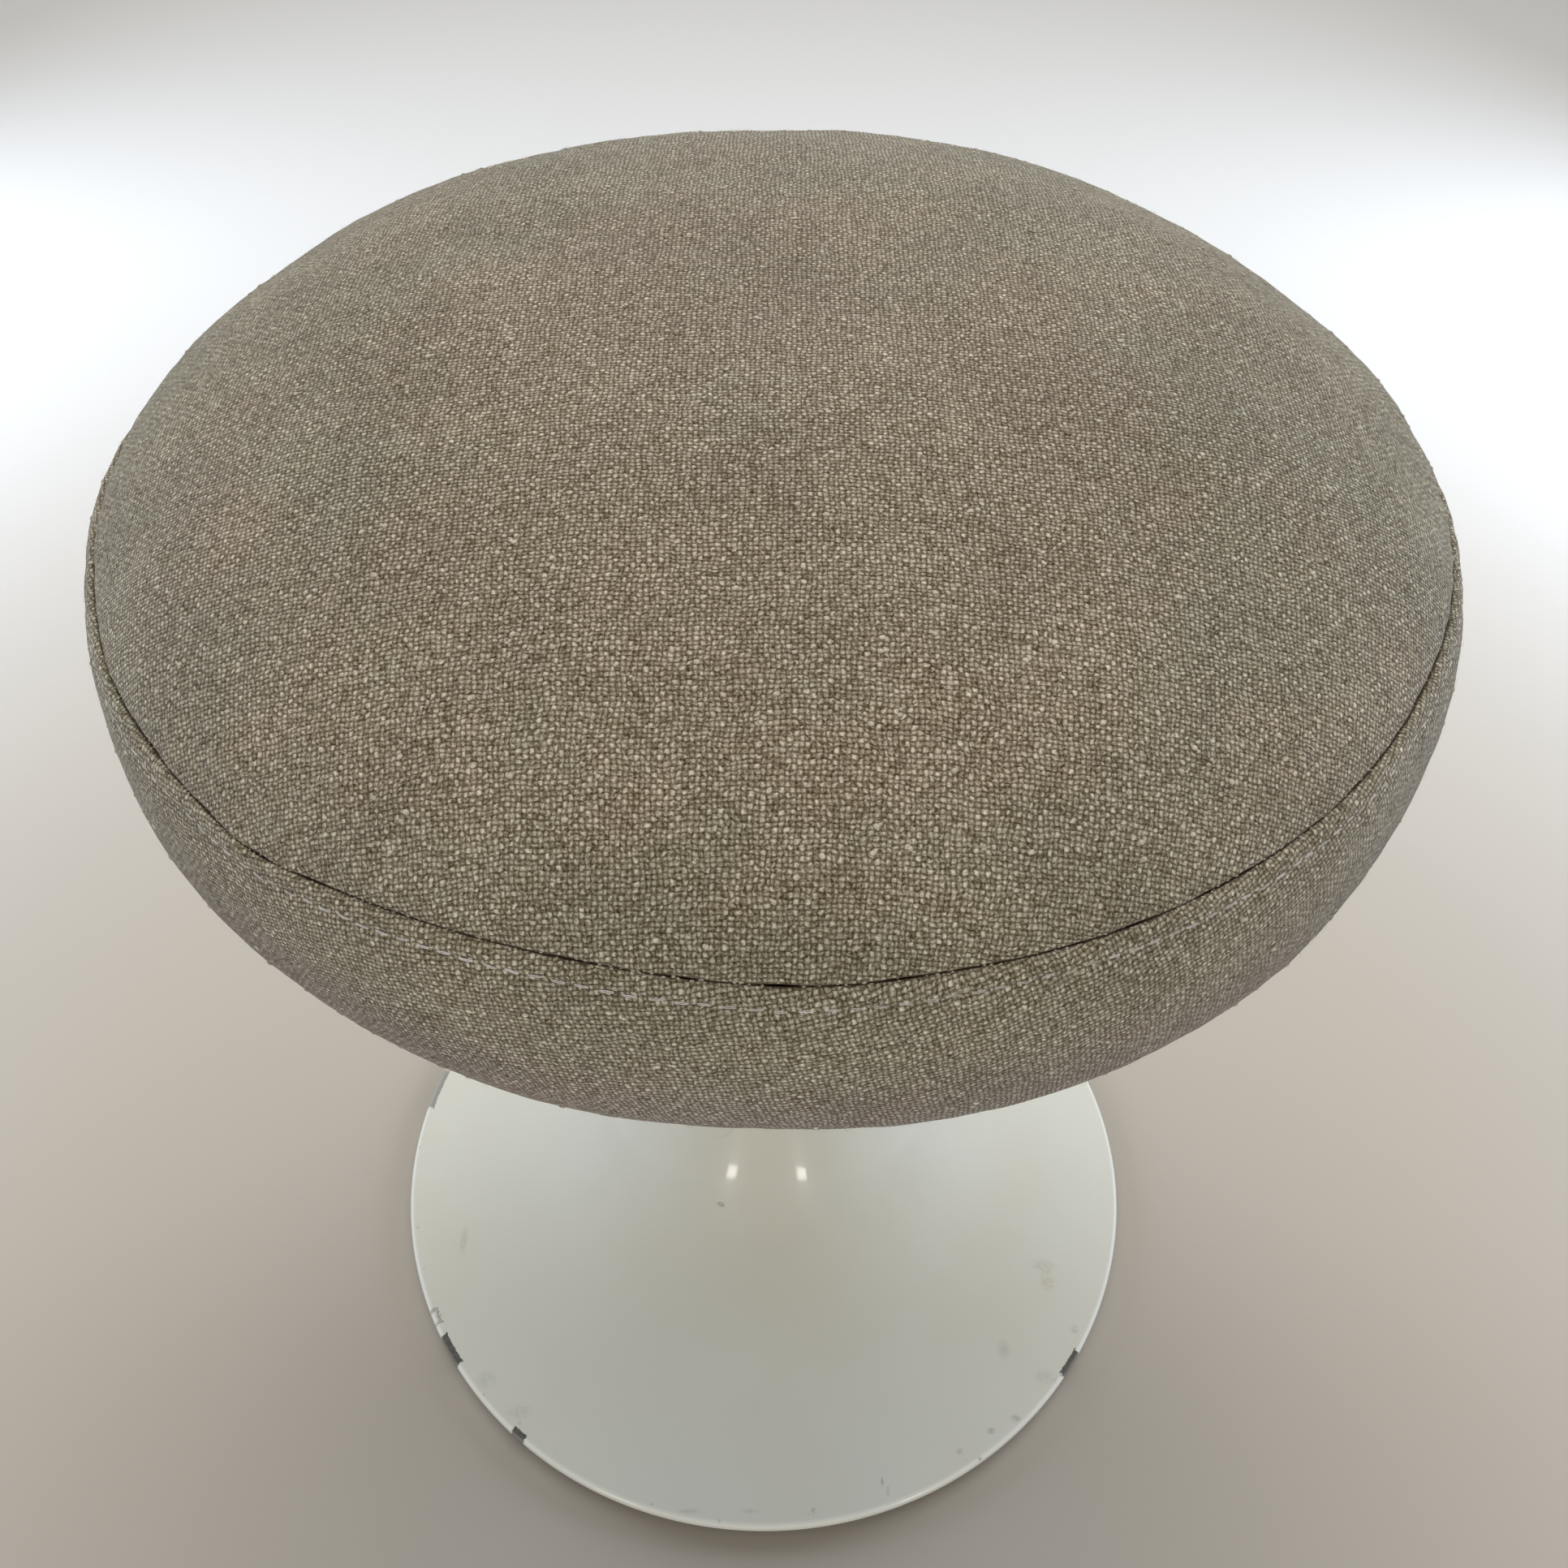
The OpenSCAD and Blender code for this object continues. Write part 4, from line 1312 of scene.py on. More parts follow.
@dataclass
class Cushion:
    """The domed top panel on its foam, the boxing band, and the plain seam that joins them.

    Sizes are in mm. Below the seam the foam's hidden side runs in by foam_in, at foam_drop under the seam and
    at foam_up over the board. The numbers named pull say how much more than in front the seam is drawn in
    behind, and the two shade pulls how much wider the cloth's painted seam shade is behind.
    """

    form: SeatForm
    cloth: Material
    foam: Material
    columns: int = 480
    crown_rows: int = 150
    band_rows: tuple[int, int, int] = (38, 42, 10)
    band_crowding: float = 1.5
    passes: int = 14
    tuck: float = 0.2
    tuck_pull: float = 6.0
    tuck_w: float = 0.45
    tuck_w_pull: float = 3.2
    # The two shade pulls widen the cloth's painted seam shade behind.
    crown_shade_pull: float = 2.0
    band_shade_pull: float = 4.2
    pucker: Ripple = Ripple(0.22, 41, 7, 16)
    pucker_reach: float = 9.0
    calm_reach: float = 4.0
    hollow: Ripple = Ripple(0.3, 11, 45, 90)
    lump: Ripple = Ripple(0.1, 23, 7, 18)
    stitch_drop: float = 5.4
    stitch_depth: float = 0.3
    stitch_w: float = 1.3
    join_depth: float = 1.5
    join_w: float = 1.6
    join_from: float = 3.0
    gathers: int = 72
    gather_h: float = 0.5
    gather_steps: tuple[float, float] = (1.55, 2.0)
    gather_r: float = 152.0
    gather_fade: float = 5.0
    gather_sway: Ripple = Ripple(2.5, 77, 60, 120)
    staple_r: float = 160.0
    staple_w: float = 3.0
    thickness: float = 1.4
    inner_every: int = 3
    grain: float = 12.0
    board_top: float = 348.0
    foam_in: tuple[float, ...] = (3.4, 5.0, 8.0, 12.0)
    foam_drop: tuple[float, ...] = (3.2, 12.0)
    foam_up: tuple[float, ...] = (4.0, 0.0)
    crease: float = 80.0
    crown: Array = field(init=False)
    band: Array = field(init=False)

    def azimuths(self) -> Array:
        """Azimuth of each column, from the band's join at the back."""
        return BACK + np.arange(self.columns) * 360 / self.columns

    def drawn(self, moved: Array, at: Array, to: Array) -> Array:
        """The cover's movement, read at this grid's rows and columns.

        Args:
            moved: The movement at the stations.
            at: Stations of its rows.
            to: Stations of this grid's rows.

        Returns:
            The movement of each point.
        """
        rows = between_rows(moved, at, to)
        ring = np.concatenate([rows, rows[:, :1]], 1).swapaxes(0, 1)
        fine = between_rows(ring, np.linspace(0, 1, len(ring)), np.arange(self.columns) / self.columns)
        return eased(eased(fine.swapaxes(0, 1), self.passes, 1, True), self.passes, 0, False)

    def shape(self) -> None:
        """Works out the outer surfaces of both panels: the section, the drawn cover, its unevenness and the
        tuck."""
        azimuth = self.azimuths()
        draw = CoverDraw(self.form)
        crown_at, band_at, _ = draw.stations()
        crown_moved, band_moved = draw.settle()
        down = np.linspace(0, 1, self.crown_rows)
        crown = self.form.crown(np.sin(np.radians(90 * down[:, None])), azimuth)
        crown += self.drawn(crown_moved, crown_at, down)
        parts = [np.linspace(k, k + 1, n, endpoint=False) for k, n in enumerate(self.band_rows)]
        parts[0] = parts[0] ** self.band_crowding
        steps = np.concatenate([*parts, [float(len(parts))]])
        band = self.form.band(steps[:, None], azimuth) + self.drawn(band_moved, band_at, steps)
        inward = -(outward_at(azimuth) + [0, 0, 1]) * MM
        from_seam = arc_up(crown)
        crown += self.relief(crown, from_seam)[..., None] * grid_normals(crown)
        crown += self.closing(from_seam, azimuth)[..., None] * inward
        past_seam = arc_down(band)
        lift = self.relief(band, past_seam) - self.sewn(past_seam, azimuth)
        lift = lift + self.gathered(band, steps, azimuth)
        band += lift[..., None] * grid_normals(band)
        band += self.closing(past_seam, azimuth)[..., None] * inward
        crown[0] = crown[1].mean(0) * [0, 0, 1]
        self.crown, self.band = crown, band

    @staticmethod
    def pull(azimuth: Array, most: float) -> Array:
        """How much more than in front the seam is drawn in, and its painted shade widened: 1 in front, rising
        to the most behind.
        """
        return 1 + (most - 1) * np.clip(1 + np.sin(np.radians(azimuth)), 0, 1) ** 2

    def closing(self, away: Array, azimuth: Array) -> Array:
        """How far in mm the cloth turns in at the seam: tuck * exp(-(away / width)^2), both pulled."""
        width = self.tuck_w * self.pull(azimuth, self.tuck_w_pull)
        return self.tuck * self.pull(azimuth, self.tuck_pull) * np.exp(-((away / width) ** 2))

    def relief(self, points: Array, away: Array) -> Array:
        """Unevenness in metres: puckers * e + (hollows + lumps) (1 - e), each e being exp(-(away / reach)^2)
        with a reach of its own.

        Args:
            points: The surface.
            away: Way from the seam in mm.

        Returns:
            A height for each point.
        """
        puckers = self.pucker.at(points) * np.exp(-((away / self.pucker_reach) ** 2))
        calm = 1 - np.exp(-((away / self.calm_reach) ** 2))
        return (puckers + calm * (self.hollow.at(points) + self.lump.at(points))) * MM

    def sewn(self, away: Array, azimuth: Array) -> Array:
        """How deep in metres the band is drawn in, depth * exp(-(d / width)^2), with d the distance from the
        topstitching and from the join of its ends.

        Args:
            away: Way from the seam in mm.
            azimuth: Angles in degrees.

        Returns:
            A depth for each point.
        """
        line = self.stitch_depth * np.exp(-(((away - self.stitch_drop) / self.stitch_w) ** 2))
        aside = np.minimum(azimuth - BACK, 360 + BACK - azimuth) * math.radians(1) * self.form.seam_r
        open_seam = 1 - np.exp(-((away / self.join_from) ** 2))
        join = self.join_depth * np.exp(-((aside / self.join_w) ** 2)) * open_seam
        return (line + join) * MM

    def gathered(self, points: Array, steps: Array, azimuth: Array) -> Array:
        """Gathers where the band turns under, h (1 + sin(gathers a + sway)) / 2, pressed flat by the staples.

        Args:
            points: The band's points in metres.
            steps: Step of each row.
            azimuth: Angles in degrees.

        Returns:
            Their height in metres.
        """
        radius = np.linalg.norm(points[..., :2], axis=-1) / MM
        first, full = self.gather_steps
        fade = np.clip((steps - first) / (full - first), 0, 1)[:, None]
        fade = fade * np.clip((radius - self.gather_r) / self.gather_fade, 0, 1)
        pressed = 1 - np.exp(-(((radius - self.staple_r) / self.staple_w) ** 2)) * (steps > 2)[:, None]
        wave = np.sin(np.radians(self.gathers * azimuth) + self.gather_sway.at(points[:1] * [1, 1, 0]))
        return self.gather_h * MM * fade * pressed * (0.5 + 0.5 * wave)

    def seam_edges(self, reach: float = 0.9) -> Array:
        """A narrow strip along the seam, from so many mm up the crown to as many down the band."""
        up, down = arc_up(self.crown), arc_down(self.band)
        above, below = int((up > reach).sum(0).mean()), int((down < reach).sum(0).mean())
        return np.concatenate([self.crown[above:-1], self.band[1:below + 1]])

    def top_panel(self) -> bpy.types.Object:
        """Makes the crown with its foam: a closed form, flat where it rests on the board.

        The cloth coordinates are the walked length from the middle times (cos a, sin a).

        Returns:
            The piece.
        """
        azimuth, columns = self.azimuths(), self.columns
        ring, height = self.form.seam(azimuth)
        levels = [height - drop for drop in self.foam_drop] + [self.board_top + up for up in self.foam_up]
        hidden = np.stack([polar(ring - inset, level, azimuth) for inset, level in zip(self.foam_in, levels)])
        grid = np.concatenate([self.crown[1:], hidden])
        rows, last, side = len(grid), len(grid) * columns, np.arange(columns)
        walked = arc_down(np.concatenate([self.crown, hidden]))[1:]
        spread = walked[..., None] * MM * outward_at(azimuth)[:, :2]
        spread = np.concatenate([spread, spread[:, :1]], 1)
        middle = np.zeros((columns, 2))
        skin = Skin(
            np.concatenate([grid.reshape(-1, 3), [self.crown[0, 0], [0, 0, self.board_top * MM]]]),
            grid_quads(rows, columns),
            np.concatenate([turned_over(fan(last, side)), fan(last + 1, side + last - columns)]),
            grid_corners(spread, rows, columns),
            np.concatenate([
                np.stack([middle, spread[0, 1:], spread[0, :-1]], 1),
                np.stack([middle, spread[-1, :-1], spread[-1, 1:]], 1),
            ]),
        ).outward()
        seen = (rows - len(hidden) - 1) * columns
        face_finish = np.ones(len(skin.quads) + 2 * columns, int)
        face_finish[:seen] = 0
        face_finish[len(skin.quads):len(skin.quads) + columns] = 0
        # The edge number, shortened behind, lets the cloth's painted seam shade reach further there.
        away = arc_up(self.crown)[1:] / self.pull(azimuth, self.crown_shade_pull)
        edge = np.concatenate([away.ravel(), np.zeros(len(hidden) * columns), [away.max(), 0.0]])
        return skin.piece("seat_top_panel", [self.cloth, self.foam], {"edge": edge}, face_finish, self.crease)

    def boxing_band(self) -> bpy.types.Object:
        """Makes the band: its outer face, and its inner face a cloth's thickness behind, from the seam to the
        hem.

        The cloth coordinates are (azimuth * widest r, walked length), turned by the grain's angle.

        Returns:
            The piece.
        """
        columns = self.columns
        inner = (self.band - self.thickness * MM * grid_normals(self.band))[::-1]
        every = np.arange(2, len(inner) - 1, self.inner_every)
        keep = np.unique(np.concatenate([[0], every, [len(inner) - 1]]))
        grid = np.concatenate([self.band, inner[keep]])
        rows = len(grid)
        walked = arc_down(self.band)
        walked = np.concatenate([walked, walked[::-1][keep], walked[:1]])
        walked = np.concatenate([walked, walked[:, :1]], 1) * MM
        around = np.arange(columns + 1) / columns * 2 * math.pi * (self.form.seam_r + self.form.bulge) * MM
        cos, sin = math.cos(math.radians(self.grain)), math.sin(math.radians(self.grain))
        cloth = np.stack([around * cos - walked * sin, around * sin + walked * cos], -1)
        corners = grid_corners(cloth, rows, columns, True)
        skin = Skin(grid.reshape(-1, 3), grid_quads(rows, columns, True), quad_cloth=corners).outward()
        # The edge number, shortened behind, lets the cloth's painted seam shade reach further there.
        away = arc_down(self.band) / self.pull(self.azimuths(), self.band_shade_pull)
        edge = np.concatenate([away.ravel(), np.zeros((rows - len(self.band)) * columns)])
        return skin.piece("seat_boxing_band", [self.cloth], {"edge": edge}, crease=self.crease)

    def build(self) -> None:
        """Makes both panels and sets them in the frame."""
        self.shape()
        top, band = self.top_panel(), self.boxing_band()
        for piece, nodes in ((top, ("cover_top", "foam_pad", "wadding")), (band, ("cover_band",))):
            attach(piece, "seat")
            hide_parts(*nodes)
            log.info("%s: %d faces", piece.name, len(piece.data.polygons))


@dataclass
class Topstitch:
    """The row of light stitches just below the seam.

    Sizes are in mm. The stitches stand proud about two azimuths, where they were pulled less tight, as
    (azimuth, width, strength), and elsewhere they are sunk into the cloth.
    """

    cushion: Cushion
    thread: Material
    pitch: float = 4.9
    length: float = 3.5
    strand_r: float = 0.11
    strand_gap: float = 0.34
    lift: float = 0.36
    sunk: float = 0.1
    dive: float = 0.12
    sway: float = 0.16
    steps: int = 7
    sides: int = 5
    seed: int = 19
    proud: tuple[tuple[float, float, float], ...] = ((-113.0, 20.0, 1.0), (-56.0, 13.0, 0.55))

    def line(self) -> tuple[Array, Array]:
        """Where the row runs over each column of the band, and the band's normals there.

        Returns:
            Points in metres and unit normals.
        """
        band, drop = self.cushion.band, self.cushion.stitch_drop
        away, column = arc_down(band), np.arange(band.shape[1])
        row = (away < drop).sum(0)
        before, after = away[row - 1, column], away[row, column]
        share = ((drop - before) / (after - before))[:, None]
        line = band[row - 1, column] * (1 - share) + band[row, column] * share
        return line, grid_normals(band)[row, column]

    def build(self) -> None:
        """Sews the row.

        Each stitch is a pair of strands along the line. Its height over the cloth is lift (1 - s^4) less what
        it is sunk and dives at its ends, with s from -1 to 1, and it stands proud by the sum of strength *
        exp(-((a - azimuth) / width)^2).
        """
        count = int(2 * math.pi * self.cushion.form.seam_r / self.pitch)
        rng = np.random.default_rng(self.seed)
        at = BACK + (np.arange(count) + 0.5 + rng.uniform(-0.06, 0.06, count)) * 360 / count
        middle, normal = (
            np.stack([np.interp(at, self.cushion.azimuths(), part[:, k], period=360) for k in range(3)], 1)
            for part in self.line()
        )
        normal /= np.linalg.norm(normal, axis=1, keepdims=True)
        ahead = sideways_at(at)
        down = np.cross(normal, ahead)
        along = ahead + down * rng.normal(0, 0.05, count)[:, None]
        proud = sum(
            tall * np.exp(-((((at - centre + 180) % 360 - 180) / wide) ** 2))
            for centre, wide, tall in self.proud
        )
        s = np.linspace(-1, 1, self.steps)
        high = (self.lift * (0.2 + 0.8 * proud) * rng.uniform(0.75, 1.2, count))[:, None] * (1 - s**4)
        high = high - self.sunk - self.dive * s**6
        paths = middle[:, None] + along[:, None] * (s * self.length / 2 * MM)[:, None]
        paths = paths + normal[:, None] * high[..., None] * MM
        paths = paths + down[:, None] * (rng.normal(0, self.sway, count) * MM)[:, None, None]
        apart = self.strand_gap / 2 * MM * (1 - 0.5 * s**2)[:, None] * down[:, None]
        paths, normal = np.concatenate([paths - apart, paths + apart]), np.concatenate([normal, normal])
        radii = np.broadcast_to(self.strand_r * MM * (1 - 0.3 * s**4), (2 * count, self.steps))
        tone = np.clip(rng.uniform(0.1, 0.7, count) + 0.4 * proud, 0, 1)
        tone = np.tile(np.repeat(tone, self.steps * self.sides), 2)
        skin = sweep(paths, radii, normal, self.sides)
        piece = skin.piece("seat_topstitching", [self.thread], {"tone": tone})
        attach(piece, "seat")
        log.info("%s: %d stitches", piece.name, count)


@dataclass
class Nap:
    """What stands off the cloth: slubs of thicker yarn and stray fibres, in numbers that the eye can count.

    The slubs are counted on the crown, on the band and along the seam, and the fibres on the crown and on the
    band, with a few long strays. Sizes and lengths are in mm. A slub's size is the exponential of a normal
    number, and half its length, width and height are that size times slub_half.
    """

    cushion: Cushion
    slub_finish: Material
    fibre_finish: Material
    seed: int = 83
    slubs: tuple[int, int, int] = (1000, 620, 800)
    slub_size: tuple[float, float] = (-0.3, 0.24)
    slub_half: tuple[float, float, float] = (0.84, 0.64, 0.42)
    slub_lift: float = 0.02
    slub_lean: float = 0.35
    slub_shape: tuple[float, float] = (0.86, 1.12)
    seam_size: float = 0.62
    seam_fade: float = 0.48
    seam_tone: float = 0.6
    rings: tuple[float, ...] = (36.0, 70.0, 104.0, 142.0)
    sides: int = 8
    fibres: tuple[int, int] = (2600, 2400)
    fibre_length: tuple[float, float] = (0.9, 2.6)
    fibre_r: tuple[float, float] = (0.022, 0.04)
    fibre_steps: int = 5
    fibre_sides: int = 3
    fibre_sunk: float = 0.1
    strays: int = 26
    stray_length: tuple[float, float] = (3.5, 9.0)

    @staticmethod
    def scatter(grid: Array, count: int, rng: np.random.Generator) -> tuple[Array, Array, Array]:
        """Places spread evenly over a grid's area, each cell drawn by its share of the area.

        Args:
            grid: The surface, closed along its columns.
            count: How many places.
            rng: The seeded source.

        Returns:
            The places, their normals, and unit vectors along the surface's columns.
        """
        right = np.roll(grid, -1, 1)
        area = np.linalg.norm(np.cross(right[:-1] - grid[:-1], grid[1:] - grid[:-1]), axis=-1)
        cell = rng.choice(area.size, count, p=area.ravel() / area.sum())
        i, j = np.divmod(cell, grid.shape[1])
        s, r = rng.random((2, count, 1))
        upper = grid[i, j] * (1 - s) + right[i, j] * s
        lower = grid[i + 1, j] * (1 - s) + right[i + 1, j] * s
        normal = grid_normals(grid)[i, j]
        along = np.cross([0, 0, 1.0], normal + 1e-6)
        return upper * (1 - r) + lower * r, normal, along / np.linalg.norm(along, axis=1, keepdims=True)

    def scattered(
        self, grids: Sequence[Array], counts: Sequence[int], rng: np.random.Generator,
    ) -> list[Array]:
        """Places, normals and ways along on several grids in turn, each joined into one array."""
        found = [self.scatter(grid, count, rng) for grid, count in zip(grids, counts)]
        return [np.concatenate(parts) for parts in zip(*found)]

    def bead(self) -> Skin:
        """A ball of unit radius: rings at angles from the top, with a fan of triangles to each pole.

        Returns:
            The bead.
        """
        down = np.radians(self.rings)[:, None]
        turn = np.arange(self.sides) * 2 * math.pi / self.sides
        ring = (np.sin(down) * np.cos(turn), np.sin(down) * np.sin(turn), np.cos(down))
        ring = np.stack(np.broadcast_arrays(*ring), -1)
        last, side = len(self.rings) * self.sides, np.arange(self.sides)
        caps = np.concatenate([fan(last, side), turned_over(fan(last + 1, side + last - self.sides))])
        points = np.concatenate([ring.reshape(-1, 3), [[0, 0, 1], [0, 0, -1]]])
        return Skin(points, grid_quads(len(self.rings), self.sides)[:, ::-1], caps)

    def slub_skin(self, rng: np.random.Generator) -> tuple[Skin, Array]:
        """Beads stretched along the yarn and half sunk into the cloth, each a little misshapen.

        The last lot stands along the seam in front, which they cover here and there, and shrinks away towards
        the sides.

        Args:
            rng: The seeded source.

        Returns:
            The beads as one skin, and the tone of each point, with painted light on a bead's top and painted
            shade where it meets the cloth.
        """
        grids = (self.cushion.crown[2:-8], self.cushion.band[6:-8], self.cushion.seam_edges())
        place, normal, along = self.scattered(grids, self.slubs, rng)
        count = len(place)
        on_crown, on_seam = np.arange(count) < self.slubs[0], np.arange(count) >= sum(self.slubs[:2])
        weft = np.array([1.0, 0, 0]) - normal * normal[:, :1]
        along = np.where(on_crown[:, None], weft, along)
        along /= np.linalg.norm(along, axis=1, keepdims=True)
        across = np.cross(normal, along)
        lean = rng.normal(0, self.slub_lean, count)[:, None]
        cos, sin = np.cos(lean), np.sin(lean)
        along, across = along * cos + across * sin, across * cos - along * sin
        size = np.minimum(np.exp(rng.normal(*self.slub_size, count)), 1.0)
        aside = np.clip(1 + place[:, 1] / np.hypot(place[:, 0], place[:, 1]), 0, 1)
        size = (np.where(on_seam, self.seam_size - self.seam_fade * aside, 1.0) * size)[:, None, None] * MM
        ball = self.bead()
        shape = ball.points * rng.uniform(*self.slub_shape, (count, len(ball.points), 1)) * size
        length, width, tall = self.slub_half
        points = (
            place[:, None] + shape[..., :1] * length * along[:, None]
            + shape[..., 1:2] * width * across[:, None]
            + (shape[..., 2:] * tall + self.slub_lift * size) * normal[:, None]
        )
        shift = (np.arange(count) * len(ball.points))[:, None, None]
        quads, tris = (ball.quads + shift).reshape(-1, 4), (ball.tris + shift).reshape(-1, 3)
        tone = (0.55 + 0.45 * rng.random(count)) * np.where(on_seam, self.seam_tone, 1.0)
        # Painted shade and light on each bead: darkest where it meets the cloth, lightest on its top.
        painted_dome_shade = 0.1 + 0.9 * np.clip(ball.points[:, 2], 0, 1) ** 0.8
        return Skin(points.reshape(-1, 3), quads, tris).outward(), (tone[:, None] * painted_dome_shade).ravel()

    def fibre_skin(self, rng: np.random.Generator) -> tuple[Skin, Array]:
        """Tapered hairs that leave the cloth, arch over and come near it again: height l (a t - b t^2).

        Args:
            rng: The seeded source.

        Returns:
            The hairs as one skin, and the tone of each point.
        """
        grids = (self.cushion.crown[2:-2], self.cushion.band[2:-4], self.cushion.band[40:-12])
        place, normal, along = self.scattered(grids, (*self.fibres, self.strays), rng)
        count = len(place)
        turn = rng.uniform(0, 2 * math.pi, count)[:, None]
        across = np.cross(normal, along)
        way, side = along * np.cos(turn) + across * np.sin(turn), across * np.cos(turn) - along * np.sin(turn)
        length = rng.uniform(*self.fibre_length, count) * MM
        length[-self.strays:] = rng.uniform(*self.stray_length, self.strays) * MM
        rear, bend = rng.uniform(0.35, 1.3, count)[:, None], rng.normal(0, 0.5, count)[:, None]
        t = np.linspace(0, 1, self.fibre_steps)
        arch = way[:, None] * t[:, None] + normal[:, None] * (rear * t - (rear * 0.75) * t**2)[..., None]
        arch = arch + side[:, None] * (bend * t**2)[..., None]
        paths = place[:, None] + length[:, None, None] * arch - normal[:, None] * self.fibre_sunk * MM
        radii = rng.uniform(*self.fibre_r, count)[:, None] * MM * (1 - 0.7 * t)
        tone = np.repeat(rng.random(count), self.fibre_steps * self.fibre_sides)
        return sweep(paths, radii, normal + way * 0.01, self.fibre_sides), tone

    def build(self) -> None:
        """Makes both pieces and sets them in the frame."""
        rng = np.random.default_rng(self.seed)
        for name, finish, (skin, tone) in (
            ("seat_slubs", self.slub_finish, self.slub_skin(rng)),
            ("seat_fibres", self.fibre_finish, self.fibre_skin(rng)),
        ):
            piece = skin.piece(name, [finish], {"tone": tone}, crease=180)
            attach(piece, "seat")
            log.info("%s: %d faces", name, len(piece.data.polygons))


@dataclass
class Underside:
    """The black dust cloth stretched under the board, from the mounting plate to its staples on the hem.

    Sizes are in mm. The rows are those up to the step at the hem's edge, over it, and out to the cloth's
    edge.
    """

    cloth: Material
    columns: int = 360
    rows: tuple[int, int, int] = (26, 8, 12)
    inner_r: float = 73.0
    outer_r: float = 150.0
    step_in: float = 134.0
    step_out: float = 137.4
    board_z: float = BOARD_FOOT
    hem_z: float = 331.0
    clear: float = 0.03
    staple_r: float = 146.0
    thickness: float = 0.5
    sag: float = 0.9
    sway: Ripple = Ripple(0.4, 9, 40, 90)
    crumple: Ripple = Ripple(0.05, 31, 9, 20)
    cut: Ripple = Ripple(0.5, 3, 12, 40)
    pull: float = 0.25
    pulls: int = 20
    pull_at: float = 7.0

    def build(self) -> None:
        """Makes the sheet.

        Its height steps from the board to the hem, and between its edges it sags by sag (1 - |2 u - 1|^3)
        times an unevenness, with u from the plate's edge to the staples, and is pulled down between the
        staples. The underside is a cloth's thickness lower.
        """
        azimuth = np.arange(self.columns) * 360 / self.columns
        radius = np.concatenate([
            np.linspace(self.inner_r, self.step_in - 1, self.rows[0]),
            np.linspace(self.step_in, self.step_out, self.rows[1]),
            np.linspace(self.step_out + 0.8, self.outer_r, self.rows[2]),
        ])
        flat = polar(radius[:, None], 0, azimuth)
        cut = (radius > self.staple_r)[:, None] * self.cut.at(flat)
        ramp = np.clip((radius - self.step_in) / (self.step_out - self.step_in), 0, 1)
        height = self.board_z - (self.board_z - self.hem_z) * ramp**2 * (3 - 2 * ramp) - self.clear
        across = np.clip((radius - self.inner_r) / (self.staple_r - self.inner_r), 0, 1)
        hang = self.sag * (1 - np.abs(2 * across - 1) ** 3)[:, None] * (0.45 + self.sway.at(flat))
        wave = 1 + np.cos(np.radians(self.pulls * (azimuth - self.pull_at) + 180))
        pulled = self.pull * across[:, None] ** 4 * (1 - ramp)[:, None] * wave
        drop = np.maximum(hang + pulled + self.crumple.at(flat), 0)
        upper = polar(radius[:, None] + cut, height[:, None] - drop, azimuth)
        lower = upper - [0, 0, self.thickness * MM]
        grid = np.concatenate([upper, lower[::-1]])
        skin = Skin(grid.reshape(-1, 3), grid_quads(len(grid), self.columns, True)).outward()
        piece = skin.piece("underside_dust_cloth", [self.cloth])
        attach(piece, "seat")
        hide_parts("dust_cover")
        across_m = 2 * self.outer_r * MM
        area = math.pi * (self.outer_r**2 - self.inner_r**2) * MM**2
        log.info("%s: %d faces", piece.name, len(piece.data.polygons))


# The base.


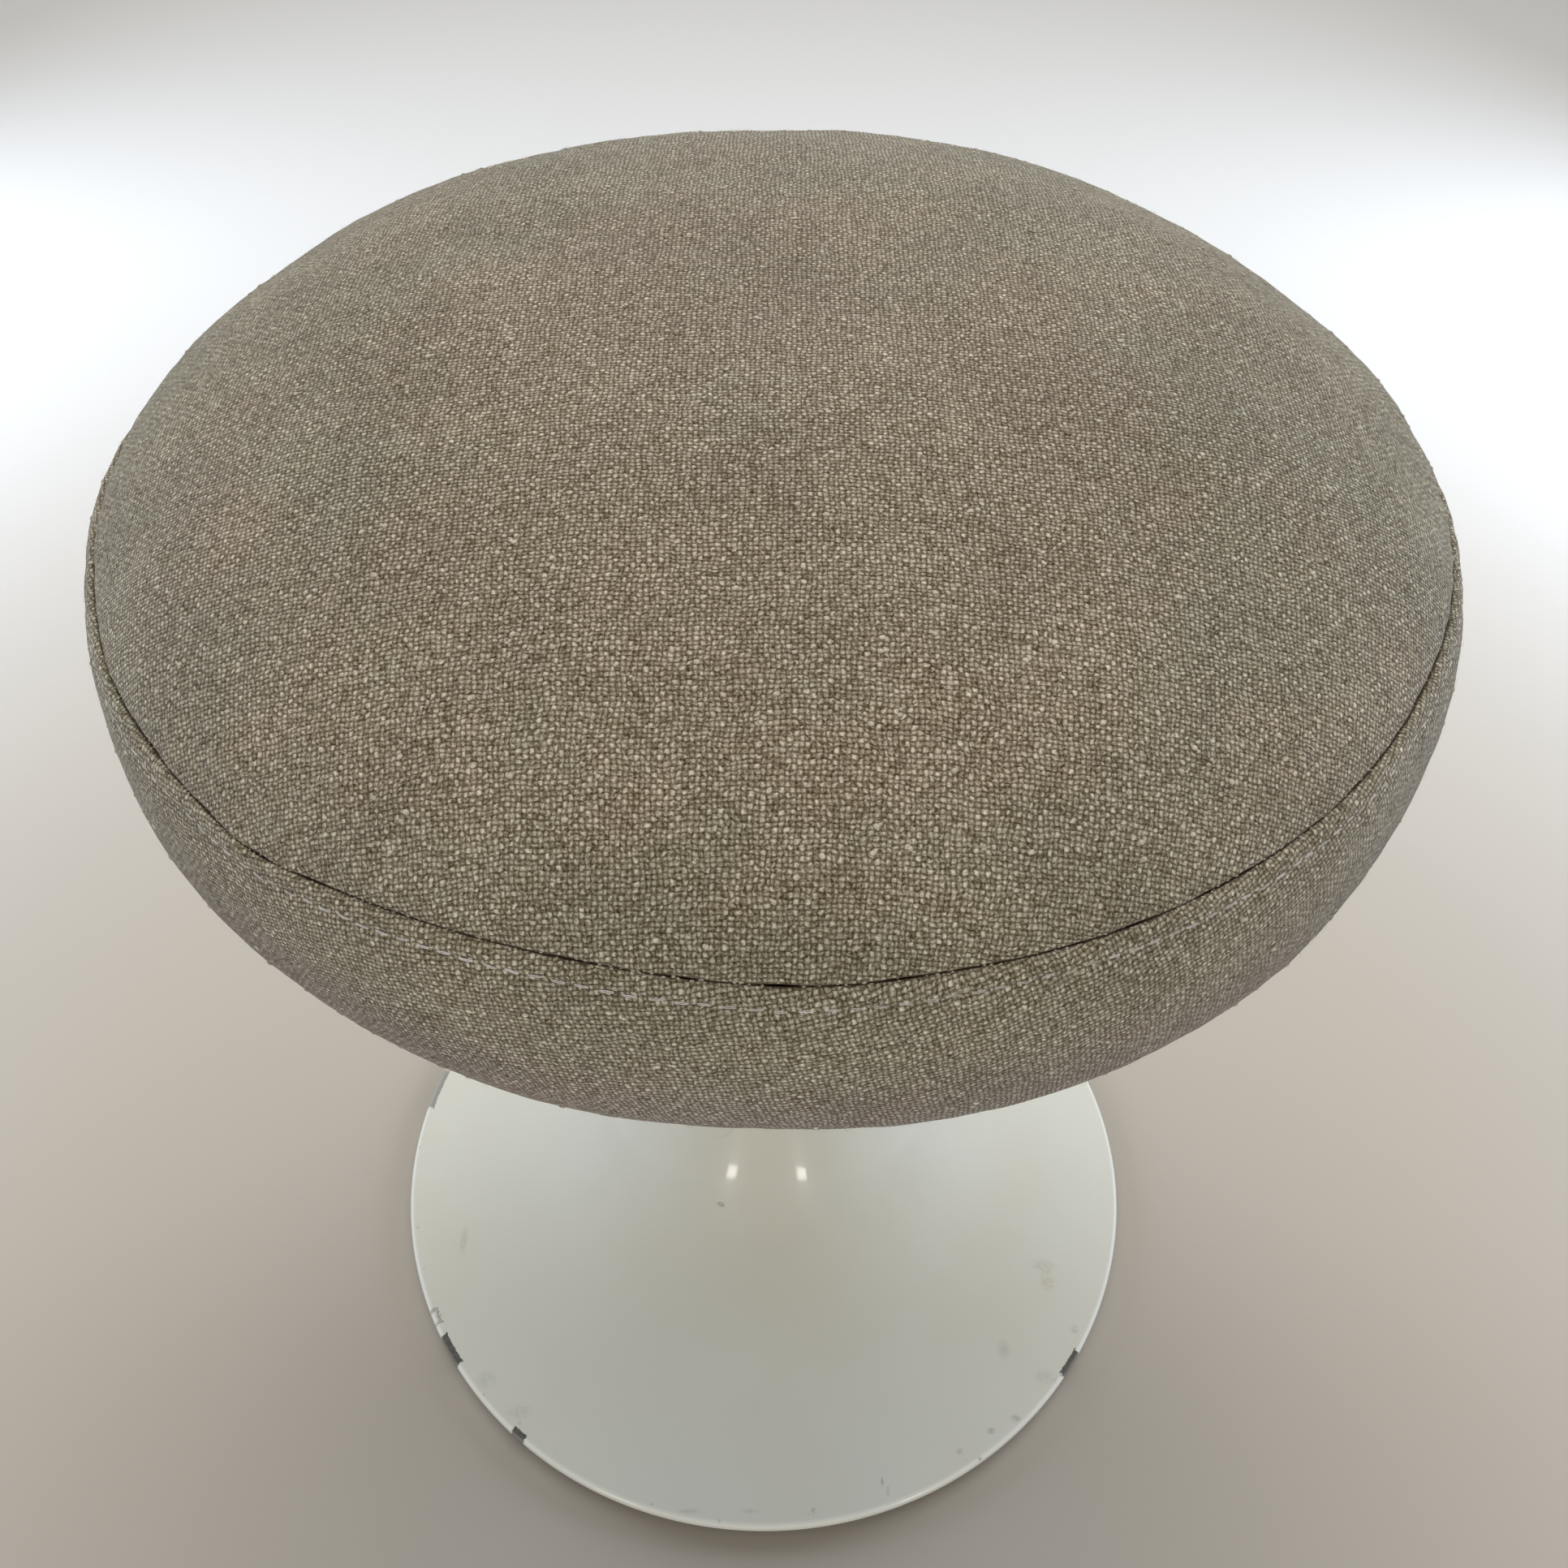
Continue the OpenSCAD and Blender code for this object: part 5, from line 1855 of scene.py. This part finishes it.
@dataclass
class Pedestal:
    """The trumpet casting: a thin-rimmed foot that sweeps up into a waisted stem and flares to its head.

    Sizes are in mm. The outer and inner points are those of the foot's curve and of the head's, outside and
    in the hollow.
    """

    enamel: Material
    columns: int = 288
    outer_points: tuple[int, int] = (96, 52)
    inner_points: tuple[int, int] = (70, 40)
    foot_r: float = FOOT_R
    rim_z: float = 3.0
    rim_top: float = 9.0
    rim_round: float = 2.0
    ring_r: float = 143.0
    waist_r: float = 24.57
    waist_h: float = 190.0
    foot_sweep: float = 70.0
    foot_rise: float = 7.0
    stem_sweep: float = 156.0
    head_sweep: float = 50.0
    head_r: float = 54.02
    edge_z: float = 321.6
    flare_in: float = 18.0
    flare_drop: float = 18.5
    head_top: float = 325.6
    head_round: float = 1.5
    wall: float = 5.0
    cavity_top: float = 295.6
    cavity_gap: float = 0.5
    cup_r: float = 27.04
    flange_r: float = 40.02
    flange_t: float = 5.0

    @staticmethod
    def curve(handles: Sequence[tuple[float, float]], count: int, shift: float = 0.0) -> Array:
        """Points of a cubic curve, (1-t)^3 a + 3(1-t)^2 t b + 3(1-t) t^2 c + t^3 d.

        Args:
            handles: The four handles a, b, c and d in mm.
            count: How many points.
            shift: How far in mm they are moved to the left of the curve's way.

        Returns:
            The points as rows of radius and height.
        """
        t = np.linspace(0, 1, count)[:, None]
        a, b, c, d = (np.array(h) for h in handles)
        points = (1 - t) ** 3 * a + 3 * (1 - t) ** 2 * t * b + 3 * (1 - t) * t**2 * c + t**3 * d
        way = (1 - t) ** 2 * (b - a) + 2 * (1 - t) * t * (c - b) + t**2 * (d - c)
        left = np.stack([-way[:, 1], way[:, 0]], 1)
        return points + shift * left / np.linalg.norm(left, axis=1, keepdims=True)

    @staticmethod
    def quarter(
        middle: tuple[float, float], radius: float, first: float, last: float, count: int = 7,
    ) -> Array:
        """Points of an arc about middle, (r cos t, r sin t) from the first to the last angle in degrees."""
        turn = np.radians(np.linspace(first, last, count))
        return np.array(middle) + radius * np.stack([np.cos(turn), np.sin(turn)], 1)

    @staticmethod
    def edge(*corners: tuple[float, float], step: float = 3.0) -> Array:
        """Straight runs between corners with a point at least every step, so that faces stay even.

        Args:
            *corners: Radius and height of each.
            step: Longest run.

        Returns:
            The points.
        """
        runs = []
        for a, b in zip(corners, corners[1:]):
            count = max(2, int(math.dist(a, b) / step) + 2)
            runs.append(np.linspace(a, b, count)[:-1])
        return np.concatenate([*runs, [corners[-1]]])

    def section(self) -> Array:
        """Closed half section, from the foot's underside up the outside to the head and down the hollow
        inside.

        Returns:
            Radius and height in mm of each point.
        """
        outer, rim = self.foot_r - self.rim_round, self.rim_round
        foot = (
            (outer, self.rim_top), (outer - self.foot_sweep, self.rim_top + self.foot_rise),
            (self.waist_r, self.waist_h - self.stem_sweep), (self.waist_r, self.waist_h),
        )
        head = (
            (self.waist_r, self.waist_h), (self.waist_r, self.waist_h + self.head_sweep),
            (self.head_r - self.flare_in, self.edge_z - self.flare_drop), (self.head_r, self.edge_z),
        )
        inside = np.concatenate([
            self.curve(foot, self.inner_points[0], self.wall),
            self.curve(head, self.inner_points[1], self.wall)[1:],
        ])
        widest, highest = self.ring_r - self.cavity_gap, self.cavity_top - self.cavity_gap
        inside = inside[(inside[:, 0] < widest) & (inside[:, 1] < highest)][::-1]
        seat_z, lip = self.head_top - self.flange_t, self.head_round
        return np.concatenate([
            self.edge((self.ring_r, self.rim_z), (outer, self.rim_z)),
            self.quarter((outer, self.rim_z + rim), rim, -90, 0)[1:],
            self.quarter((outer, self.rim_top - rim), rim, 0, 90, 9),
            self.curve(foot, self.outer_points[0])[1:],
            self.curve(head, self.outer_points[1])[1:],
            self.quarter((self.head_r - lip, self.head_top - lip), lip, 0, 90, 6),
            self.edge(
                (self.flange_r, self.head_top), (self.flange_r, seat_z), (self.cup_r, seat_z),
                (self.cup_r, self.cavity_top), (float(inside[0, 0]), self.cavity_top),
            ),
            inside,
            [(self.ring_r, float(inside[-1, 1]))],
        ])

    def build(self) -> None:
        """Carries the section round the axis and sets the casting in the frame."""
        section = self.section()
        azimuth = np.arange(self.columns) * 360 / self.columns
        grid = polar(section[:, :1], section[:, 1:], azimuth)
        skin = Skin(grid.reshape(-1, 3), grid_quads(len(grid), self.columns, True)).outward()
        piece = skin.piece("pedestal_casting", [self.enamel], crease=35)
        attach(piece, "base")
        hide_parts("pedestal")
        log.info("%s: %d faces", piece.name, len(piece.data.polygons))


@dataclass
class Hardware:
    """The frame's own rigid pieces, each of which keeps its shape and gets its finish."""

    metals: tuple[MetalFinish, ...] = (
        MetalFinish("turned_steel", srgb(176, 178, 182), srgb(140, 138, 134), 0.3, MetalWork.TURNED),
        MetalFinish("zinc_steel", srgb(196, 198, 202), srgb(170, 172, 168), 0.34, MetalWork.PLATED),
        MetalFinish("bronze", srgb(190, 140, 84), srgb(142, 98, 56), 0.32, MetalWork.TURNED),
        MetalFinish("bearing_steel", srgb(200, 202, 206), srgb(186, 188, 190), 0.16, MetalWork.TURNED),
        MetalFinish("cage_brass", srgb(214, 176, 96), srgb(176, 138, 70), 0.3, MetalWork.PLATED),
        MetalFinish("staple_wire", srgb(188, 190, 194), srgb(160, 160, 158), 0.3, MetalWork.DRAWN),
        MetalFinish("spring_steel", srgb(98, 100, 106), srgb(70, 72, 78), 0.34, MetalWork.PLATED),
    )
    dress: tuple[tuple[str, tuple[str, ...]], ...] = (
        ("turned_steel", ("bearing_housing", "spindle")),
        ("zinc_steel", ("housing_screws", "plate_washers", "plate_screws", "tee_nuts", "retaining_washer")),
        ("bronze", ("upper_bush", "lower_bush")),
        ("bearing_steel", ("lower_race", "bearing_balls", "upper_race")),
        ("cage_brass", ("ball_cage",)),
        ("staple_wire", ("cover_staples", "dust_staples")),
        ("spring_steel", ("wave_washer", "retaining_ring")),
        ("black_plate", ("mounting_plate",)),
        ("plywood", ("seat_board",)),
        ("black_nylon", ("base_glides",)),
    )

    def build(self) -> None:
        """Dresses every rigid node of the frame."""
        makers = (*self.metals, PlateFinish(), PlywoodFinish(), NylonFinish())
        finishes = {maker.name: maker.build() for maker in makers}
        for finish, nodes in self.dress:
            for name in nodes:
                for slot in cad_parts[name].material_slots:
                    slot.material = finishes[finish]
            log.info("%s: %d carried-over pieces", finish, len(nodes))


# The studio.


@dataclass(frozen=True)
class FloorFinish:
    """Matt pale paper of the studio, with painted shade near its middle and painted light farther out, where
    it is lighter and cooler, seen from above only."""

    name: str = "pale_paper"
    # Painted shade near the stool and painted light far out: near is the darker colour, far the lighter,
    # cooler one.
    near: Colour = srgb(178, 171, 161)
    far: Colour = srgb(212, 213, 214)

    def build(self) -> Material:
        """Makes the material: seen from below it lets the camera through, so that the underside can be looked
        at.

        Returns:
            The material.
        """
        t = Tree(self.name)
        place = t.place()
        x, y, _ = t.parts(place)
        radius = x.hypot(y) + t.noise(place, 3.0, 2.0) * 0.1
        # Painted light and shade: lighter and cooler from 0.3 m out to 1.15 m.
        colour = t.mix(radius.rise(0.3, 1.15), self.near, self.far)
        paper = t.node(
            "ShaderNodeBsdfPrincipled", None,
            {"Base Color": colour, "Roughness": 0.85, "Specular IOR Level": 0.2},
        )
        clear = t.node("ShaderNodeBsdfTransparent")
        below = t.node("ShaderNodeNewGeometry", out="Backfacing")
        seen = t.node("ShaderNodeLightPath", out="Is Camera Ray")
        t.node_out(t.node("ShaderNodeMixShader", None, {0: below * seen, 1: paper, 2: clear}))
        return t.material


@dataclass(frozen=True)
class Lamp:
    """A soft rectangular light: its place, aim and size in metres and its power in watts.

    A mirrored one shows only in gloss, and the others only light what is matt.
    """

    name: str
    place: tuple[float, float, float]
    aim: tuple[float, float, float]
    size: tuple[float, float]
    power: float
    colour: Colour
    mirrored: bool = False

    def hang(self) -> None:
        """Puts the light in the scene."""
        data = bpy.data.lights.new(self.name, "AREA")
        data.shape = "RECTANGLE"
        data.size, data.size_y = self.size
        data.energy = self.power
        data.color = self.colour[:3]
        made = bpy.data.objects.new(self.name, data)
        made.location = self.place
        made.visible_glossy = self.mirrored
        made.visible_diffuse = not self.mirrored
        made.visible_camera = False
        made.rotation_euler = (Vector(self.place) - Vector(self.aim)).to_track_quat("Z", "Y").to_euler()
        bpy.context.scene.collection.objects.link(made)


@dataclass
class Studio:
    """A pale floor that sweeps up all round, soft lights at both sides, and the photograph's camera.

    The floor and the eye are in mm, the picture's width and the focal length in its pixels, and angles in
    radians.
    """

    floor_r: float = 3600.0
    floor_rings: int = 16
    middle_r: float = 60.0
    bend_r: float = 900.0
    bend_steps: int = 12
    wall_h: float = 2200.0
    columns: int = 96
    image: float = 1932.0
    focal: float = 1856.45
    pitch: float = 0.8137
    yaw: float = -0.0110
    roll: float = 0.0276
    eye: tuple[float, float, float] = (0.0, -359.2, 643.6)
    sensor: float = 36.0
    day: Colour = srgb(230, 241, 255)
    warm: Colour = srgb(255, 250, 242)
    air: float = 0.26
    glints: tuple[tuple[str, float], ...] = (("left_glint", -0.147), ("right_glint", 0.165))

    def floor(self) -> None:
        """Makes the sweep: a disc, a quarter bend of radius bend_r and an upright wall, carried round the
        axis."""
        bend = np.radians(np.linspace(0, 90, self.bend_steps + 1))[1:]
        radius = np.concatenate([
            np.geomspace(self.middle_r, self.floor_r, self.floor_rings),
            self.floor_r + self.bend_r * np.sin(bend),
            [self.floor_r + self.bend_r],
        ])
        height = np.concatenate([np.zeros(self.floor_rings), self.bend_r * (1 - np.cos(bend)), [self.wall_h]])
        grid = polar(radius[:, None], height[:, None], np.arange(self.columns) * 360 / self.columns)
        middle = fan(len(grid) * self.columns, np.arange(self.columns))
        points = np.concatenate([grid.reshape(-1, 3), [[0, 0, 0]]])
        skin = Skin(points, grid_quads(len(grid), self.columns)[:, ::-1], middle)
        skin.piece("studio_floor", [FloorFinish().build()])

    def lights(self) -> None:
        """Hangs the lights: a broad pair at the sides, a soft one above, one in front, and a small low
        pair."""
        for lamp in (
            Lamp("left_window", (-1.05, 0.65, 0.56), (0, 0.1, 0.22), (0.8, 0.7), 9.5, self.day),
            Lamp("right_window", (1.05, 0.65, 0.56), (0, 0.1, 0.22), (0.8, 0.7), 11.3, self.day),
            Lamp("ceiling", (0, 1.1, 2.4), (0, 0.3, 0.3), (2.2, 1.4), 44, self.warm),
            Lamp("front_fill", (0, -2.5, 0.55), (0, 0, 0.25), (2.2, 0.7), 30, self.warm),
        ):
            lamp.hang()
        for name, across in self.glints:
            place, aim = (across, -0.305, 0.03), (0.09 * across, -0.044, 0.073)
            Lamp(name, place, aim, (0.042, 0.02), 0.05, self.warm, True).hang()
        world = bpy.data.worlds.new("studio_air")
        world.use_nodes = True
        world.node_tree.nodes["Background"].inputs["Color"].default_value = self.warm
        world.node_tree.nodes["Background"].inputs["Strength"].default_value = self.air
        bpy.context.scene.world = world

    def camera(self) -> None:
        """Sets up the camera from the fitted view.

        With p the pitch, w the yaw and q the roll: forward is (-sin w cos p, cos w cos p, -sin p), and the
        right and up vectors are turned about it by q.
        """
        angles = (self.pitch, self.yaw, self.roll)
        cp, sp, cw, sw, cq, sq = (turn(angle) for angle in angles for turn in (math.cos, math.sin))
        forward = np.array([-sw * cp, cw * cp, -sp])
        level, lifted = np.array([cw, sw, 0.0]), np.array([-sw * sp, cw * sp, cp])
        right, up = cq * level + sq * lifted, -sq * level + cq * lifted
        turn = np.eye(4)
        turn[:3, :3] = np.stack([right, up, -forward], 1)
        turn[:3, 3] = np.array(self.eye) * MM
        data = bpy.data.cameras.new("photo_camera")
        data.sensor_width = self.sensor
        data.lens = self.sensor * self.focal / self.image
        data.clip_start = 0.01
        made = bpy.data.objects.new("photo_camera", data)
        made.matrix_world = Matrix(turn.tolist())
        bpy.context.scene.collection.objects.link(made)
        bpy.context.scene.camera = made

    def build(self) -> None:
        """Sets up the whole studio."""
        self.camera()
        self.floor()
        self.lights()
        bpy.context.scene.view_settings.view_transform = "Standard"
        log.info("studio set up")


def main() -> None:
    """Builds the studio, the base and the seat."""
    logging.basicConfig(level=logging.INFO, format="%(name)s: %(message)s")
    Studio().build()
    Pedestal(Enamel().build()).build()
    Hardware().build()
    cushion = Cushion(SeatForm(), WovenCloth().build(), FoamFinish().build())
    cushion.build()
    thread = YarnFinish("light_thread", srgb(176, 172, 164), srgb(240, 240, 240)).build()
    Topstitch(cushion, thread).build()
    slub = YarnFinish("slub_yarn", srgb(128, 117, 93), srgb(228, 222, 207)).build()
    fibre = YarnFinish("stray_fibre", srgb(138, 131, 114), srgb(196, 190, 176)).build()
    Nap(cushion, slub, fibre).build()
    Underside(DustClothFinish().build()).build()


if __name__ == "__main__":
    main()
